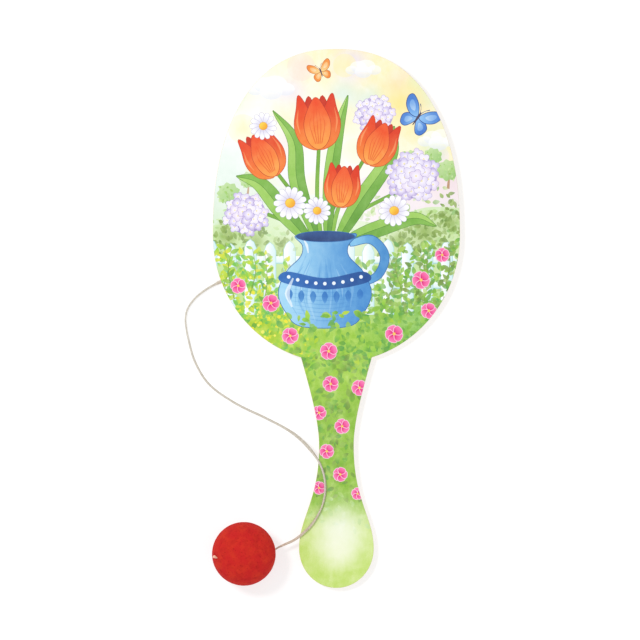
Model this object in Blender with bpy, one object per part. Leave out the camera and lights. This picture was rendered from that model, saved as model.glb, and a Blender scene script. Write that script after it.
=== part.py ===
"""A paddle ball: a printed plywood bat with a sponge rubber ball on an elastic strand.

The bat lies on its back with its handle towards -Y and its printed front up. The origin is
on the table under the middle of the bat's length. Units are metres and +Z is up.

The strand starts under a staple in the middle of the bat's back, comes out under the left
edge of the blade, crosses the front of the handle and runs through the ball, where a knot
in a pocket holds it.
"""

import math

import bmesh
import bpy
from mathutils import Matrix, Vector

# Outline of the bat
LENGTH = 0.280
BLADE_WIDTH = 0.1284
BLADE_RISE = 0.0969  # from the blade's widest line up to its top
BLADE_DROP = 0.0661  # from the widest line down to where the lower curve would close
BLADE_FULLNESS = 2.33  # exponent of the upper curve, where 2 is an ellipse
ROOT_WIDTH = 0.0368  # handle where it leaves the blade
FLARE_ANGLE = math.radians(15)
FLARE_EASE = 0.0131
NECK_WIDTH = 0.0180
NECK_HEIGHT = 0.0740  # of the narrowest line above the handle's end
NECK_EASE = 0.0140
NECK_RUN = 0.0290
BULB_WIDTH = 0.0388
BULB_HEIGHT = 0.0205  # of the bulb's widest line above the handle's end
BULB_RUN = 0.0164

# Layers of the bat
BACK_PLY = 0.0013
CORE_PLY = 0.0023
FACE_PLY = 0.0013
GLUE_LINE = 0.00005
PRINT_THICKNESS = 0.0002
BACK_EDGE_ROUND = 0.0008
FACE_EDGE_ROUND = 0.00025

# Elastic strand: a flat strip, drawn as a round one of its thickness where it runs free
STRIP_WIDTH = 0.0017
STRIP_THICKNESS = 0.0008
STRAND_DIAMETER = STRIP_THICKNESS
STRAND_CLEARANCE = 0.0002
STRAND_GAP = 0.0003  # between the ends of two stretches
STRAND_LEAD = 0.0015  # straight stretch at each end
STRAND_POINTS = 80
IN_BALL_POINTS = 9
KNOT_POINTS = 72

# Staple
STAPLE_Y = 0.0580
STAPLE_CROWN = 0.0114
STAPLE_WIRE_WIDTH = 0.0007
STAPLE_WIRE_THICKNESS = 0.0005
STAPLE_BEND = 0.0009
STAPLE_DEPTH = 0.0034  # of the legs in the wood
STAPLE_CHISEL = 0.0008
STAPLE_CLEARANCE = 0.00015
STAPLE_EDGE_ROUND = 0.0001

# End of the strand that the staple holds
PINCH_WIDTH = 0.0024
PINCH_CLEARANCE = 0.0001
PINCH_OVERLAP = 0.0002  # of the squeezed stretch past each side of the staple's wire
PINCH_EASE = 0.0009  # over which the strip swells back to its own thickness
PINCH_EXIT = 0.0022
TAIL_LENGTH = 0.0060

# Ball
BALL_DIAMETER = 0.0330
BALL_X = -0.0480
BALL_Y = -0.1220
BORE_CLEARANCE = 0.0001
BORE_RISE = math.radians(29)
BORE_TURN = math.radians(7)
MOUTH_ROUND = 0.0004
MOUTH_DEPTH = 0.0012  # of rubber between the knot's pocket and the ball's skin
POCKET_CLEARANCE = 0.0003
KNOT_CLEARANCE = 0.00012  # between turns of the strand in the knot
END_BEYOND_BALL = 0.0018

# Fineness of the round shapes
RISE_STEPS = 22
DROP_STEPS = 15
FLARE_STEPS = 7
NECK_STEPS = 12
BULB_STEPS = 10
EDGE_STEPS = 3
BALL_STEPS = 40
BALL_ARC_STEPS = 22
MOUTH_STEPS = 3
POCKET_STEPS = 8
BEND_STEPS = 5
CURVE_STEPS = 12

# Heights, from the table up
BACK_Z = STRAND_DIAMETER + 2 * STRAND_CLEARANCE
CORE_Z = BACK_Z + BACK_PLY + GLUE_LINE
FACE_Z = CORE_Z + CORE_PLY + GLUE_LINE
PRINT_Z = FACE_Z + FACE_PLY + GLUE_LINE
FRONT_Z = PRINT_Z + PRINT_THICKNESS
STRAND_ON_TABLE_Z = STRAND_CLEARANCE + STRAND_DIAMETER / 2
STRAND_ON_FRONT_Z = FRONT_Z + STRAND_CLEARANCE + STRAND_DIAMETER / 2

# Route of the free stretch, seen from above: x, y, and how far it has climbed from the
# table (0) to the handle's front (1)
ROUTE = (
    (-0.0012, 0.0497, 0.0),
    (-0.0055, 0.0437, 0.0),
    (-0.0135, 0.0380, 0.0),
    (-0.0255, 0.0324, 0.0),
    (-0.0410, 0.0267, 0.0),
    (-0.0525, 0.0223, 0.0),
    (-0.0598, 0.0194, 0.0),
    (-0.0676, 0.0152, 0.0),
    (-0.0734, 0.0106, 0.0),
    (-0.0774, 0.0050, 0.0),
    (-0.0785, -0.0002, 0.0),
    (-0.0779, -0.0062, 0.0),
    (-0.0768, -0.0115, 0.0),
    (-0.0737, -0.0221, 0.0),
    (-0.0664, -0.0340, 0.0),
    (-0.0530, -0.0438, 0.0),
    (-0.0373, -0.0515, 0.12),
    (-0.0281, -0.0562, 0.46),
    (-0.0211, -0.0607, 0.82),
    (-0.0143, -0.0672, 1.0),
    (-0.0084, -0.0757, 1.0),
    (-0.0059, -0.0847, 1.0),
    (-0.0064, -0.0940, 1.0),
    (-0.0095, -0.1018, 1.0),
    (-0.0140, -0.1083, 1.0),
    (-0.0212, -0.1146, 1.0),
    (-0.0265, -0.1172, 1.0),
    (-0.0298, -0.1187, 1.02),
)

# Second half of the knot in pitches: along the strand, across it and above it. The first
# half is the same turned by 180 degrees about the middle axis.
KNOT_HALF = (
    (0.0, 1.85, 0.0),
    (-1.3, 1.25, 0.35),
    (-2.0, 0.0, 0.68),
    (-1.75, -1.2, 0.4),
    (-0.95, -1.75, -0.2),
    (0.0, -1.1, -0.68),
    (1.0, -0.45, -0.05),
    (2.0, 0.0, 0.68),
    (3.2, 0.0, 0.25),
    (4.4, 0.0, 0.0),
)
KNOT_PITCH = STRAND_DIAMETER + KNOT_CLEARANCE
KNOT_END = KNOT_HALF[-1][0] * KNOT_PITCH
KNOT_REACH = max(y for x, y, z in KNOT_HALF) * KNOT_PITCH + STRAND_DIAMETER / 2
KNOT_HALF_LENGTH = -min(x for x, y, z in KNOT_HALF) * KNOT_PITCH + STRAND_DIAMETER / 2

BALL_RADIUS = BALL_DIAMETER / 2
BORE_RADIUS = STRIP_WIDTH / 2 + BORE_CLEARANCE
POCKET_RADIUS = KNOT_REACH + POCKET_CLEARANCE
POCKET_HALF_LENGTH = KNOT_HALF_LENGTH + 2 * POCKET_CLEARANCE
POCKET_CENTRE = BALL_RADIUS - MOUTH_DEPTH - POCKET_HALF_LENGTH


def clear_scene():
    for obj in list(bpy.data.objects):
        bpy.data.objects.remove(obj, do_unlink=True)


def material(name, colour, roughness, metallic=0.0):
    made = bpy.data.materials.new(name)
    made.use_nodes = True
    shader = made.node_tree.nodes["Principled BSDF"]
    shader.inputs["Base Color"].default_value = (*colour, 1.0)
    shader.inputs["Roughness"].default_value = roughness
    shader.inputs["Metallic"].default_value = metallic
    made.diffuse_color = (*colour, 1.0)
    return made


def add_mesh(name, bm, finish):
    """An object from a bmesh, its faces pointing out and its round sides smooth."""
    bmesh.ops.recalc_face_normals(bm, faces=bm.faces)
    mesh = bpy.data.meshes.new(name)
    bm.to_mesh(mesh)
    bm.free()
    mesh.shade_smooth()
    mesh.set_sharp_from_angle(angle=math.radians(35))
    mesh.materials.append(finish)
    obj = bpy.data.objects.new(name, mesh)
    bpy.context.scene.collection.objects.link(obj)
    return obj


def add_tube(name, points, diameter, finish):
    """A round tube with closed ends along a row of points."""
    curve = bpy.data.curves.new(name, "CURVE")
    curve.dimensions = "3D"
    curve.bevel_depth = diameter / 2
    curve.bevel_resolution = 2
    curve.use_fill_caps = True
    spline = curve.splines.new("POLY")
    spline.points.add(len(points) - 1)
    for spot, point in zip(spline.points, points):
        spot.co = (*point, 1.0)
    curve.materials.append(finish)
    obj = bpy.data.objects.new(name, curve)
    bpy.context.scene.collection.objects.link(obj)
    return obj


def bezier(start, start_handle, end_handle, end, steps):
    """Points of a cubic curve after its start, up to and with its end."""
    points = []
    for step in range(1, steps + 1):
        t = step / steps
        u = 1 - t
        points.append(
            u**3 * start
            + 3 * u**2 * t * start_handle
            + 3 * u * t**2 * end_handle
            + t**3 * end
        )
    return points


def half_outline():
    """Corners of the bat's right half from the blade's top down to the handle's end."""
    half_blade = BLADE_WIDTH / 2
    top = LENGTH / 2
    widest_y = top - BLADE_RISE
    bottom = -LENGTH / 2
    points = []
    for step in range(RISE_STEPS + 1):
        angle = math.pi / 2 * (1 - step / RISE_STEPS)
        share = 2 / BLADE_FULLNESS
        x = half_blade * max(math.cos(angle), 0.0) ** share
        y = widest_y + BLADE_RISE * math.sin(angle) ** share
        points.append(Vector((x, y)))
    points[0].x = 0.0
    root_angle = math.acos(ROOT_WIDTH / BLADE_WIDTH)
    for step in range(1, DROP_STEPS + 1):
        angle = root_angle * step / DROP_STEPS
        x = half_blade * math.cos(angle)
        y = widest_y - BLADE_DROP * math.sin(angle)
        points.append(Vector((x, y)))
    root = points[-1]
    flare = Vector((-math.sin(FLARE_ANGLE), -math.cos(FLARE_ANGLE))) * FLARE_EASE
    neck = Vector((NECK_WIDTH / 2, bottom + NECK_HEIGHT))
    up = Vector((0.0, 1.0))
    points += bezier(root, root + flare, neck + up * NECK_EASE, neck, FLARE_STEPS)
    bulb = Vector((BULB_WIDTH / 2, bottom + BULB_HEIGHT))
    points += bezier(neck, neck - up * NECK_RUN, bulb + up * BULB_RUN, bulb, NECK_STEPS)
    for step in range(1, BULB_STEPS + 1):
        angle = math.pi / 2 * step / BULB_STEPS
        x = bulb.x * math.cos(angle)
        y = bulb.y - BULB_HEIGHT * math.sin(angle)
        points.append(Vector((x, y)))
    points[-1].x = 0.0
    return points


def inset_outline(points, inset):
    """The half outline drawn in by a distance, square to its sides."""
    moved = []
    for index, point in enumerate(points):
        before = points[index - 1] if index else Vector((-points[1].x, points[1].y))
        if index + 1 < len(points):
            after = points[index + 1]
        else:
            after = Vector((-points[-2].x, points[-2].y))
        first = (point - before).normalized()
        second = (after - point).normalized()
        inward = Vector((first.y + second.y, -first.x - second.x)).normalized()
        half_turn = inward.dot(Vector((first.y, -first.x)))
        moved.append(point + inward * inset / half_turn)
    return moved


def add_layer(name, low, thickness, finish, inset=0.0, round_low=0.0, round_high=0.0):
    """A layer of the bat: the outline as a ladder of rungs, with rounded rims."""
    half = inset_outline(half_outline(), inset) if inset else half_outline()
    bm = bmesh.new()
    rims = []
    for z in (low, low + thickness):
        right = [bm.verts.new((p.x, p.y, z)) for p in half]
        left = [bm.verts.new((-p.x, p.y, z)) for p in half[1:-1]]
        left = [right[0], *left, right[-1]]
        bm.faces.new((right[0], left[1], right[1]))
        bm.faces.new((right[-1], right[-2], left[-2]))
        for index in range(1, len(half) - 2):
            bm.faces.new((right[index], left[index], left[index + 1], right[index + 1]))
        rims.append(right + left[-2:0:-1])
    lower, upper = rims
    for index in range(len(lower)):
        following = (index + 1) % len(lower)
        bm.faces.new((lower[index], lower[following], upper[following], upper[index]))
    bmesh.ops.recalc_face_normals(bm, faces=bm.faces)
    for rim, width in ((lower, round_low), (upper, round_high)):
        if width:
            corners = set(rim)
            edges = [
                edge
                for edge in bm.edges
                if set(edge.verts) <= corners
                and any(abs(face.normal.z) < 0.5 for face in edge.link_faces)
            ]
            bmesh.ops.bevel(
                bm,
                geom=edges,
                offset=width,
                segments=EDGE_STEPS,
                profile=0.5,
                affect="EDGES",
            )
    return add_mesh(name, bm, finish)


def staple_slots():
    """The cutter for the two slots that the staple's legs sit in."""
    bm = bmesh.new()
    low = BACK_Z - STAPLE_DEPTH
    high = BACK_Z + STAPLE_DEPTH + STAPLE_CLEARANCE
    leg_x = (STAPLE_CROWN - STAPLE_WIRE_THICKNESS) / 2
    size = (
        STAPLE_WIRE_THICKNESS + 2 * STAPLE_CLEARANCE,
        STAPLE_WIRE_WIDTH + 2 * STAPLE_CLEARANCE,
        high - low,
    )
    for side in (-1, 1):
        place = Matrix.Translation((side * leg_x, STAPLE_Y, (low + high) / 2))
        bmesh.ops.create_cube(bm, size=1.0, matrix=place @ Matrix.Diagonal((*size, 1)))
    finish = material("cutter", (0.5, 0.5, 0.5), 0.5)
    cutter = add_mesh("staple_slots", bm, finish)
    cutter.hide_render = True
    cutter.display_type = "WIRE"
    return cutter


def cut(obj, cutter):
    modifier = obj.modifiers.new("staple_slots", "BOOLEAN")
    modifier.operation = "DIFFERENCE"
    modifier.solver = "EXACT"
    modifier.object = cutter


def add_board():
    """The three plies, glued crosswise, and the print on the front."""
    outer_wood = material("outer_ply", (0.80, 0.63, 0.42), 0.6)
    core_wood = material("core_ply", (0.62, 0.45, 0.27), 0.65)
    printed = material("printed_film", (0.62, 0.80, 0.38), 0.35)
    back = add_layer(
        "back_ply", BACK_Z, BACK_PLY, outer_wood, round_low=BACK_EDGE_ROUND
    )
    core = add_layer("core_ply", CORE_Z, CORE_PLY, core_wood)
    add_layer("face_ply", FACE_Z, FACE_PLY, outer_wood, round_high=FACE_EDGE_ROUND)
    add_layer("print_sheet", PRINT_Z, PRINT_THICKNESS, printed, inset=FACE_EDGE_ROUND)
    slots = staple_slots()
    cut(back, slots)
    cut(core, slots)


def staple_section():
    """The staple from the side: out round the bends, in past the chiselled points."""
    half = STAPLE_CROWN / 2
    tip = BACK_Z + STAPLE_DEPTH
    inner_bend = STAPLE_BEND - STAPLE_WIRE_THICKNESS
    bend_x = half - STAPLE_BEND
    outer = []
    inner = []
    for step in range(BEND_STEPS + 1):
        angle = math.pi / 2 * step / BEND_STEPS
        sine, cosine = math.sin(angle), math.cos(angle)
        outer.append((bend_x + STAPLE_BEND * sine, STAPLE_BEND * (1 - cosine)))
        inner.append((bend_x + inner_bend * sine, STAPLE_BEND - inner_bend * cosine))
    outer.append((half, tip))
    inner.append((half - STAPLE_WIRE_THICKNESS, tip - STAPLE_CHISEL))
    right = outer + inner[::-1]
    return right + [(-x, z) for x, z in right[::-1]]


def add_staple():
    steel = material("staple_steel", (0.62, 0.62, 0.64), 0.32, 1.0)
    bm = bmesh.new()
    front = STAPLE_Y - STAPLE_WIRE_WIDTH / 2
    face = bm.faces.new([bm.verts.new((x, front, z)) for x, z in staple_section()])
    grown = bmesh.ops.extrude_face_region(bm, geom=[face])["geom"]
    moved = [part for part in grown if isinstance(part, bmesh.types.BMVert)]
    bmesh.ops.translate(bm, verts=moved, vec=(0.0, STAPLE_WIRE_WIDTH, 0.0))
    staple = add_mesh("staple", bm, steel)
    rounding = staple.modifiers.new("wire_edges", "BEVEL")
    rounding.width = STAPLE_EDGE_ROUND
    rounding.segments = 1
    rounding.limit_method = "ANGLE"
    rounding.angle_limit = math.radians(60)
    return staple


def strip_section(y, z, width, thickness):
    """Corners round the strand's flat section: straight faces and round sides."""
    radius = thickness / 2
    corners = []
    for side in (1, -1):
        for step in range(BEND_STEPS + 1):
            angle = math.pi * step / BEND_STEPS
            x = side * (width / 2 - radius + radius * math.sin(angle))
            corners.append((x, y, z - side * radius * math.cos(angle)))
    return corners


def add_pinched_end(rubber):
    """The strand's first end: cut square, squeezed flat under the staple's crown."""
    pinch_low = STAPLE_WIRE_THICKNESS + PINCH_CLEARANCE
    pinch_high = BACK_Z - PINCH_CLEARANCE
    pinched = ((pinch_low + pinch_high) / 2, PINCH_WIDTH, pinch_high - pinch_low)
    loose = (BACK_Z / 2, STRIP_WIDTH, STRIP_THICKNESS)
    between = [(tight + slack) / 2 for tight, slack in zip(pinched, loose)]
    grip = STAPLE_WIRE_WIDTH / 2
    squeezed = grip + PINCH_OVERLAP
    sections = (
        (STAPLE_Y + grip + TAIL_LENGTH, *loose),
        (STAPLE_Y + squeezed + PINCH_EASE, *loose),
        (STAPLE_Y + squeezed + PINCH_EASE / 2, *between),
        (STAPLE_Y + squeezed, *pinched),
        (STAPLE_Y - squeezed, *pinched),
        (STAPLE_Y - squeezed - PINCH_EASE / 2, *between),
        (STAPLE_Y - squeezed - PINCH_EASE, *loose),
        (STAPLE_Y - grip - PINCH_EXIT, *loose),
    )
    bm = bmesh.new()
    rings = [[bm.verts.new(c) for c in strip_section(*section)] for section in sections]
    for first, second in zip(rings, rings[1:]):
        for index in range(len(first)):
            following = (index + 1) % len(first)
            bm.faces.new(
                (first[index], first[following], second[following], second[index])
            )
    bm.faces.new(rings[0])
    bm.faces.new(rings[-1])
    return add_mesh("elastic_pinched_end", bm, rubber)


def smooth_curve(points, count):
    """Evenly spaced points along one smooth curve through the given ones."""
    points = [Vector(point) for point in points]
    padded = [2 * points[0] - points[1], *points, 2 * points[-1] - points[-2]]
    dense = []
    for p0, p1, p2, p3 in zip(padded, padded[1:], padded[2:], padded[3:]):
        t1 = math.sqrt((p1 - p0).length)
        t2 = t1 + math.sqrt((p2 - p1).length)
        t3 = t2 + math.sqrt((p3 - p2).length)
        for step in range(CURVE_STEPS):
            t = t1 + (t2 - t1) * step / CURVE_STEPS
            a1 = p0.lerp(p1, t / t1)
            a2 = p1.lerp(p2, (t - t1) / (t2 - t1))
            a3 = p2.lerp(p3, (t - t2) / (t3 - t2))
            b1 = a1.lerp(a2, t / t2)
            b2 = a2.lerp(a3, (t - t1) / (t3 - t1))
            dense.append(b1.lerp(b2, (t - t1) / (t2 - t1)))
    dense.append(points[-1])
    lengths = [0.0]
    for before, after in zip(dense, dense[1:]):
        lengths.append(lengths[-1] + (after - before).length)
    even = []
    place = 0
    for index in range(count):
        wanted = lengths[-1] * index / (count - 1)
        while place < len(dense) - 2 and lengths[place + 1] < wanted:
            place += 1
        share = (wanted - lengths[place]) / (lengths[place + 1] - lengths[place])
        even.append(dense[place].lerp(dense[place + 1], min(share, 1.0)))
    return even


def ball_frame():
    """The ball's place: its local Z runs along the bore towards the knot's end."""
    flat = math.cos(BORE_RISE)
    bore = Vector(
        (
            -flat * math.cos(BORE_TURN),
            -flat * math.sin(BORE_TURN),
            math.sin(BORE_RISE),
        )
    )
    across = Vector((0.0, 0.0, 1.0)).cross(bore).normalized()
    turned = Matrix((across, bore.cross(across), bore)).transposed().to_4x4()
    return Matrix.Translation((BALL_X, BALL_Y, BALL_RADIUS)) @ turned


def strand_route():
    """The free stretch from the staple to the ball's near mouth."""
    start = Vector(
        (
            0.0,
            STAPLE_Y - STAPLE_WIRE_WIDTH / 2 - PINCH_EXIT - STRAND_GAP,
            STRAND_ON_TABLE_Z,
        )
    )
    climb = STRAND_ON_FRONT_Z - STRAND_ON_TABLE_Z
    frame = ball_frame()
    bore = (frame.to_3x3() @ Vector((0.0, 0.0, 1.0))).normalized()
    mouth = frame.translation - bore * (BALL_RADIUS + STRAND_GAP)
    return [
        start,
        start - Vector((0.0, STRAND_LEAD, 0.0)),
        *(Vector((x, y, STRAND_ON_TABLE_Z + climb * lift)) for x, y, lift in ROUTE),
        mouth - bore * STRAND_LEAD,
        mouth,
    ]


def knot_route():
    """The strand's far end along the bore: into the pocket, the overhand knot, and out."""
    second = [Vector(point) for point in KNOT_HALF]
    first = [Vector((-p.x, p.y, -p.z)) for p in second[:0:-1]]
    path = [
        Vector((p.z, p.y, p.x)) * KNOT_PITCH + Vector((0.0, 0.0, POCKET_CENTRE))
        for p in first + second
    ]
    path.append(Vector((0.0, 0.0, BALL_RADIUS + END_BEYOND_BALL)))
    return path


def least_clearance(points, diameter):
    """How near a tube comes to itself, between points a few diameters apart along it."""
    step = (points[1] - points[0]).length
    apart = math.ceil(2.5 * diameter / step)
    distances = [
        (first - second).length
        for index, first in enumerate(points)
        for second in points[index + apart :]
    ]
    return min(distances) - diameter


def pocket_profile():
    """The knot's pocket in the bore, from its inner end outwards."""
    points = []
    for step in range(POCKET_STEPS + 1):
        angle = math.pi * step / POCKET_STEPS
        x = BORE_RADIUS + (POCKET_RADIUS - BORE_RADIUS) * math.sin(angle)
        points.append((x, POCKET_CENTRE - POCKET_HALF_LENGTH * math.cos(angle)))
    return points


def ball_profile():
    """The ball's section: down over the skin, round both mouths and back up the bore."""
    lip_x = BORE_RADIUS + MOUTH_ROUND
    lip_z = math.sqrt((BALL_RADIUS - MOUTH_ROUND) ** 2 - lip_x**2)
    lip_angle = math.atan2(lip_x, lip_z)
    mouth = []
    for step in range(MOUTH_STEPS):
        angle = math.pi - (math.pi / 2 + lip_angle) * step / MOUTH_STEPS
        x = lip_x + MOUTH_ROUND * math.cos(angle)
        mouth.append((x, lip_z + MOUTH_ROUND * math.sin(angle)))
    skin = []
    for step in range(BALL_ARC_STEPS + 1):
        angle = lip_angle + (math.pi - 2 * lip_angle) * step / BALL_ARC_STEPS
        skin.append((BALL_RADIUS * math.sin(angle), BALL_RADIUS * math.cos(angle)))
    far_mouth = [(x, -z) for x, z in mouth[::-1]]
    return mouth + skin + far_mouth + pocket_profile()


def add_ball():
    sponge = material("sponge_rubber", (0.60, 0.03, 0.02), 0.75)
    bm = bmesh.new()
    profile = ball_profile()
    rings = []
    for step in range(BALL_STEPS):
        angle = 2 * math.pi * step / BALL_STEPS
        sine, cosine = math.sin(angle), math.cos(angle)
        rings.append([bm.verts.new((x * cosine, x * sine, z)) for x, z in profile])
    for index, ring in enumerate(rings):
        beside = rings[(index + 1) % BALL_STEPS]
        for place in range(len(profile)):
            following = (place + 1) % len(profile)
            bm.faces.new((ring[place], ring[following], beside[following], beside[place]))
    return add_mesh("ball", bm, sponge)


def add_strand():
    """The strand's four stretches. Returns the two that go with the ball."""
    rubber = material("natural_rubber", (0.72, 0.64, 0.50), 0.6)
    add_pinched_end(rubber)
    route = smooth_curve(strand_route(), STRAND_POINTS)
    add_tube("elastic_cord", route, STRAND_DIAMETER, rubber)
    near_end = Vector((0.0, 0.0, STRAND_GAP - BALL_RADIUS))
    far_end = Vector((0.0, 0.0, POCKET_CENTRE - KNOT_END - STRAND_GAP))
    straight = [
        near_end.lerp(far_end, step / (IN_BALL_POINTS - 1)) for step in range(IN_BALL_POINTS)
    ]
    in_ball = add_tube("elastic_in_ball", straight, STRAND_DIAMETER, rubber)
    knot_points = smooth_curve(knot_route(), KNOT_POINTS)
    clearance = least_clearance(knot_points, STRAND_DIAMETER)
    print(f"The knot's strands pass {clearance * 1000:.2f} mm apart")
    return in_ball, add_tube("elastic_knot", knot_points, STRAND_DIAMETER, rubber)


def main():
    clear_scene()
    add_board()
    add_staple()
    ball = add_ball()
    pivot = bpy.data.objects.new("ball_pivot", None)
    pivot.empty_display_size = BALL_RADIUS
    bpy.context.scene.collection.objects.link(pivot)
    pivot.matrix_world = ball_frame()
    for obj in (ball, *add_strand()):
        obj.parent = pivot


main()
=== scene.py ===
"""A paddle ball: printed plywood bat, elastic strand and sponge rubber ball."""

import random
from collections import namedtuple
from contextlib import contextmanager
from math import acos, atan2, cos, hypot, pi, radians, sin, sqrt

import bmesh
import bpy
import numpy as np
from bpy.props import FloatProperty, FloatVectorProperty, PointerProperty
from mathutils import Matrix, Vector
from mathutils.geometry import delaunay_2d_cdt


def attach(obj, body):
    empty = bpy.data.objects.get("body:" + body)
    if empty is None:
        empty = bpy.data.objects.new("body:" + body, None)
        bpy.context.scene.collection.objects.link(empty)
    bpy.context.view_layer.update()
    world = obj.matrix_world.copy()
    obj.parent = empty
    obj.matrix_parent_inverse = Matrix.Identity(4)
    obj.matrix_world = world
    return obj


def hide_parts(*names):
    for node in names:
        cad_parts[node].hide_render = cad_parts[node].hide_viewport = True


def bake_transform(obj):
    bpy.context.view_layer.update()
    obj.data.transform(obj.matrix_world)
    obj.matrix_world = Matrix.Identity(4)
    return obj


bl_info = {
    "name": "Paddle Ball",
    "version": (1, 0, 0),
    "blender": (4, 5, 0),
    "location": "View3D > Sidebar > Paddle Ball",
    "description": "Models a printed plywood bat with a sponge ball on an elastic strand",
    "category": "Add Mesh",
}

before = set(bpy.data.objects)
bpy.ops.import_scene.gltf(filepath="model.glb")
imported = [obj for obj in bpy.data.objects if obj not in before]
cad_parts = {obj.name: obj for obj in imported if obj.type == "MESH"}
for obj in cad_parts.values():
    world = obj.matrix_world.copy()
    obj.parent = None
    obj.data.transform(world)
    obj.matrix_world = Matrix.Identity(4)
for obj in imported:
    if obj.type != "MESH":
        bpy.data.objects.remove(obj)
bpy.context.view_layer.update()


# Sizes and colours


def length(name, description, default):
    return FloatProperty(
        name=name, description=description, default=default, unit="LENGTH", subtype="DISTANCE", precision=5
    )


def angle(name, description, degrees):
    return FloatProperty(
        name=name, description=description, default=radians(degrees), unit="ROTATION", subtype="ANGLE"
    )


def number(name, description, default):
    return FloatProperty(name=name, description=description, default=default)


def colour(name, description, default):
    return FloatVectorProperty(
        name=name, description=description, default=default, subtype="COLOR", size=3, min=0, max=1
    )


class BatSizes(bpy.types.PropertyGroup):
    length: length("Length", "From the handle's end to the blade's top", 0.280)
    blade_width: length("Blade width", "At the blade's widest line", 0.1284)
    blade_rise: length("Blade rise", "From the widest line up to the blade's top", 0.0969)
    blade_drop: length("Blade drop", "From the widest line down to where the lower curve would close", 0.0661)
    blade_fullness: number("Blade fullness", "Exponent of the upper curve, where 2 is an ellipse", 2.33)
    root_width: length("Root width", "Of the handle where it leaves the blade", 0.0368)
    flare_angle: angle("Flare angle", "Lean of the handle's sides at its root", 15)
    flare_ease: length("Flare ease", "Reach of the root's curve", 0.0131)
    neck_width: length("Neck width", "At the handle's narrowest line", 0.0180)
    neck_height: length("Neck height", "Of the narrowest line above the handle's end", 0.0740)
    neck_ease: length("Neck ease", "Reach of the neck's curve upwards", 0.0140)
    neck_run: length("Neck run", "Reach of the neck's curve downwards", 0.0290)
    bulb_width: length("Bulb width", "At the handle's end", 0.0388)
    bulb_height: length("Bulb height", "Of the bulb's widest line above the handle's end", 0.0205)
    bulb_run: length("Bulb run", "Reach of the bulb's curve upwards", 0.0164)
    back_z: length("Back height", "Of the bat's back above the table", 0.0012)
    back_ply: length("Back ply", "Its thickness", 0.0013)
    core_ply: length("Core ply", "Its thickness", 0.0023)
    face_ply: length("Face ply", "Its thickness", 0.0013)
    glue_line: length("Glue line", "Between two layers", 0.00005)
    print_thickness: length("Print thickness", "Of the printed sheet on the front", 0.0002)
    back_round: length("Back edge rounding", "Of the back's sanded edge", 0.0008)
    face_round: length("Front edge rounding", "Of the front's edge, and how far in the print ends", 0.00008)
    staple_y: length("Staple place", "Of the staple, above the middle of the bat", 0.0580)
    staple_crown: length("Staple crown", "Its width", 0.0114)
    wire_width: length("Staple wire width", "Across the crown", 0.0007)
    wire_thickness: length("Staple wire thickness", "Out of the board", 0.0005)
    slot_clearance: length("Staple slot clearance", "Round the staple's legs in the wood", 0.00015)
    slot_depth: length("Staple slot depth", "Of the legs in the wood", 0.0034)


class StrandSizes(bpy.types.PropertyGroup):
    width: length("Strip width", "Of the cut rubber strip", 0.0017)
    thickness: length("Strip thickness", "Of the cut rubber strip", 0.0008)
    corner: length("Strip corner", "Rounding of the strip's cut corners", 0.00018)
    lead: length("Straight lead", "Straight stretch at each end", 0.0015)
    gap: length("Stretch gap", "Between the ends of two of the CAD model's stretches", 0.0003)
    lift: length("Lie", "Air between the strip and what it lies on", 0.00003)
    free_length: length("Free length", "Real length of the free stretch", 0.269)
    pinch_width: length("Pinched width", "Of the strip under the staple", 0.0024)
    pinch_clearance: length("Pinch clearance", "Beside the squeezed rubber", 0.0001)
    pinch_ease: length("Pinch ease", "Over which the strip swells back", 0.0009)
    pinch_exit: length("Pinch exit", "From the staple's wire to the free stretch", 0.0022)
    pinch_overlap: length("Pinch overlap", "Of the squeezed rubber past the staple's wire", 0.0002)
    tail: length("Tail", "Left over past the staple", 0.0060)
    end_beyond_ball: length("Knotted end", "How far the strand stands out of the ball", 0.0012)
    end_bend: length("End bend", "How far the knotted end leans to one side", 0.0008)
    end_swell: length("End swell", "How much thicker the cut end is", 0.00045)


class BallSizes(bpy.types.PropertyGroup):
    diameter: length("Diameter", "Of the ball", 0.0330)
    x: length("Ball X", "Of the ball's centre", -0.0480)
    y: length("Ball Y", "Of the ball's centre", -0.1220)
    bore_rise: angle("Bore rise", "Of the bore above the table, towards the knotted end", 29)
    bore_turn: angle("Bore turn", "Of the bore from the X axis", 7)
    bore_clearance: length("Bore clearance", "Between the strip and the bore", 0.0001)
    mouth_round: length("Mouth rounding", "Of the bore's two mouths", 0.0004)
    mouth_depth: length("Mouth depth", "Of rubber between the knot's pocket and the skin", 0.0012)
    knot_clearance: length("Knot clearance", "Between turns of the strand in the knot", 0.00012)
    pocket_clearance: length("Pocket clearance", "Round the knot", 0.0003)
    skin_depth: length("Skin unevenness", "Depth of the moulded skin's dents", 0.00022)


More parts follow.
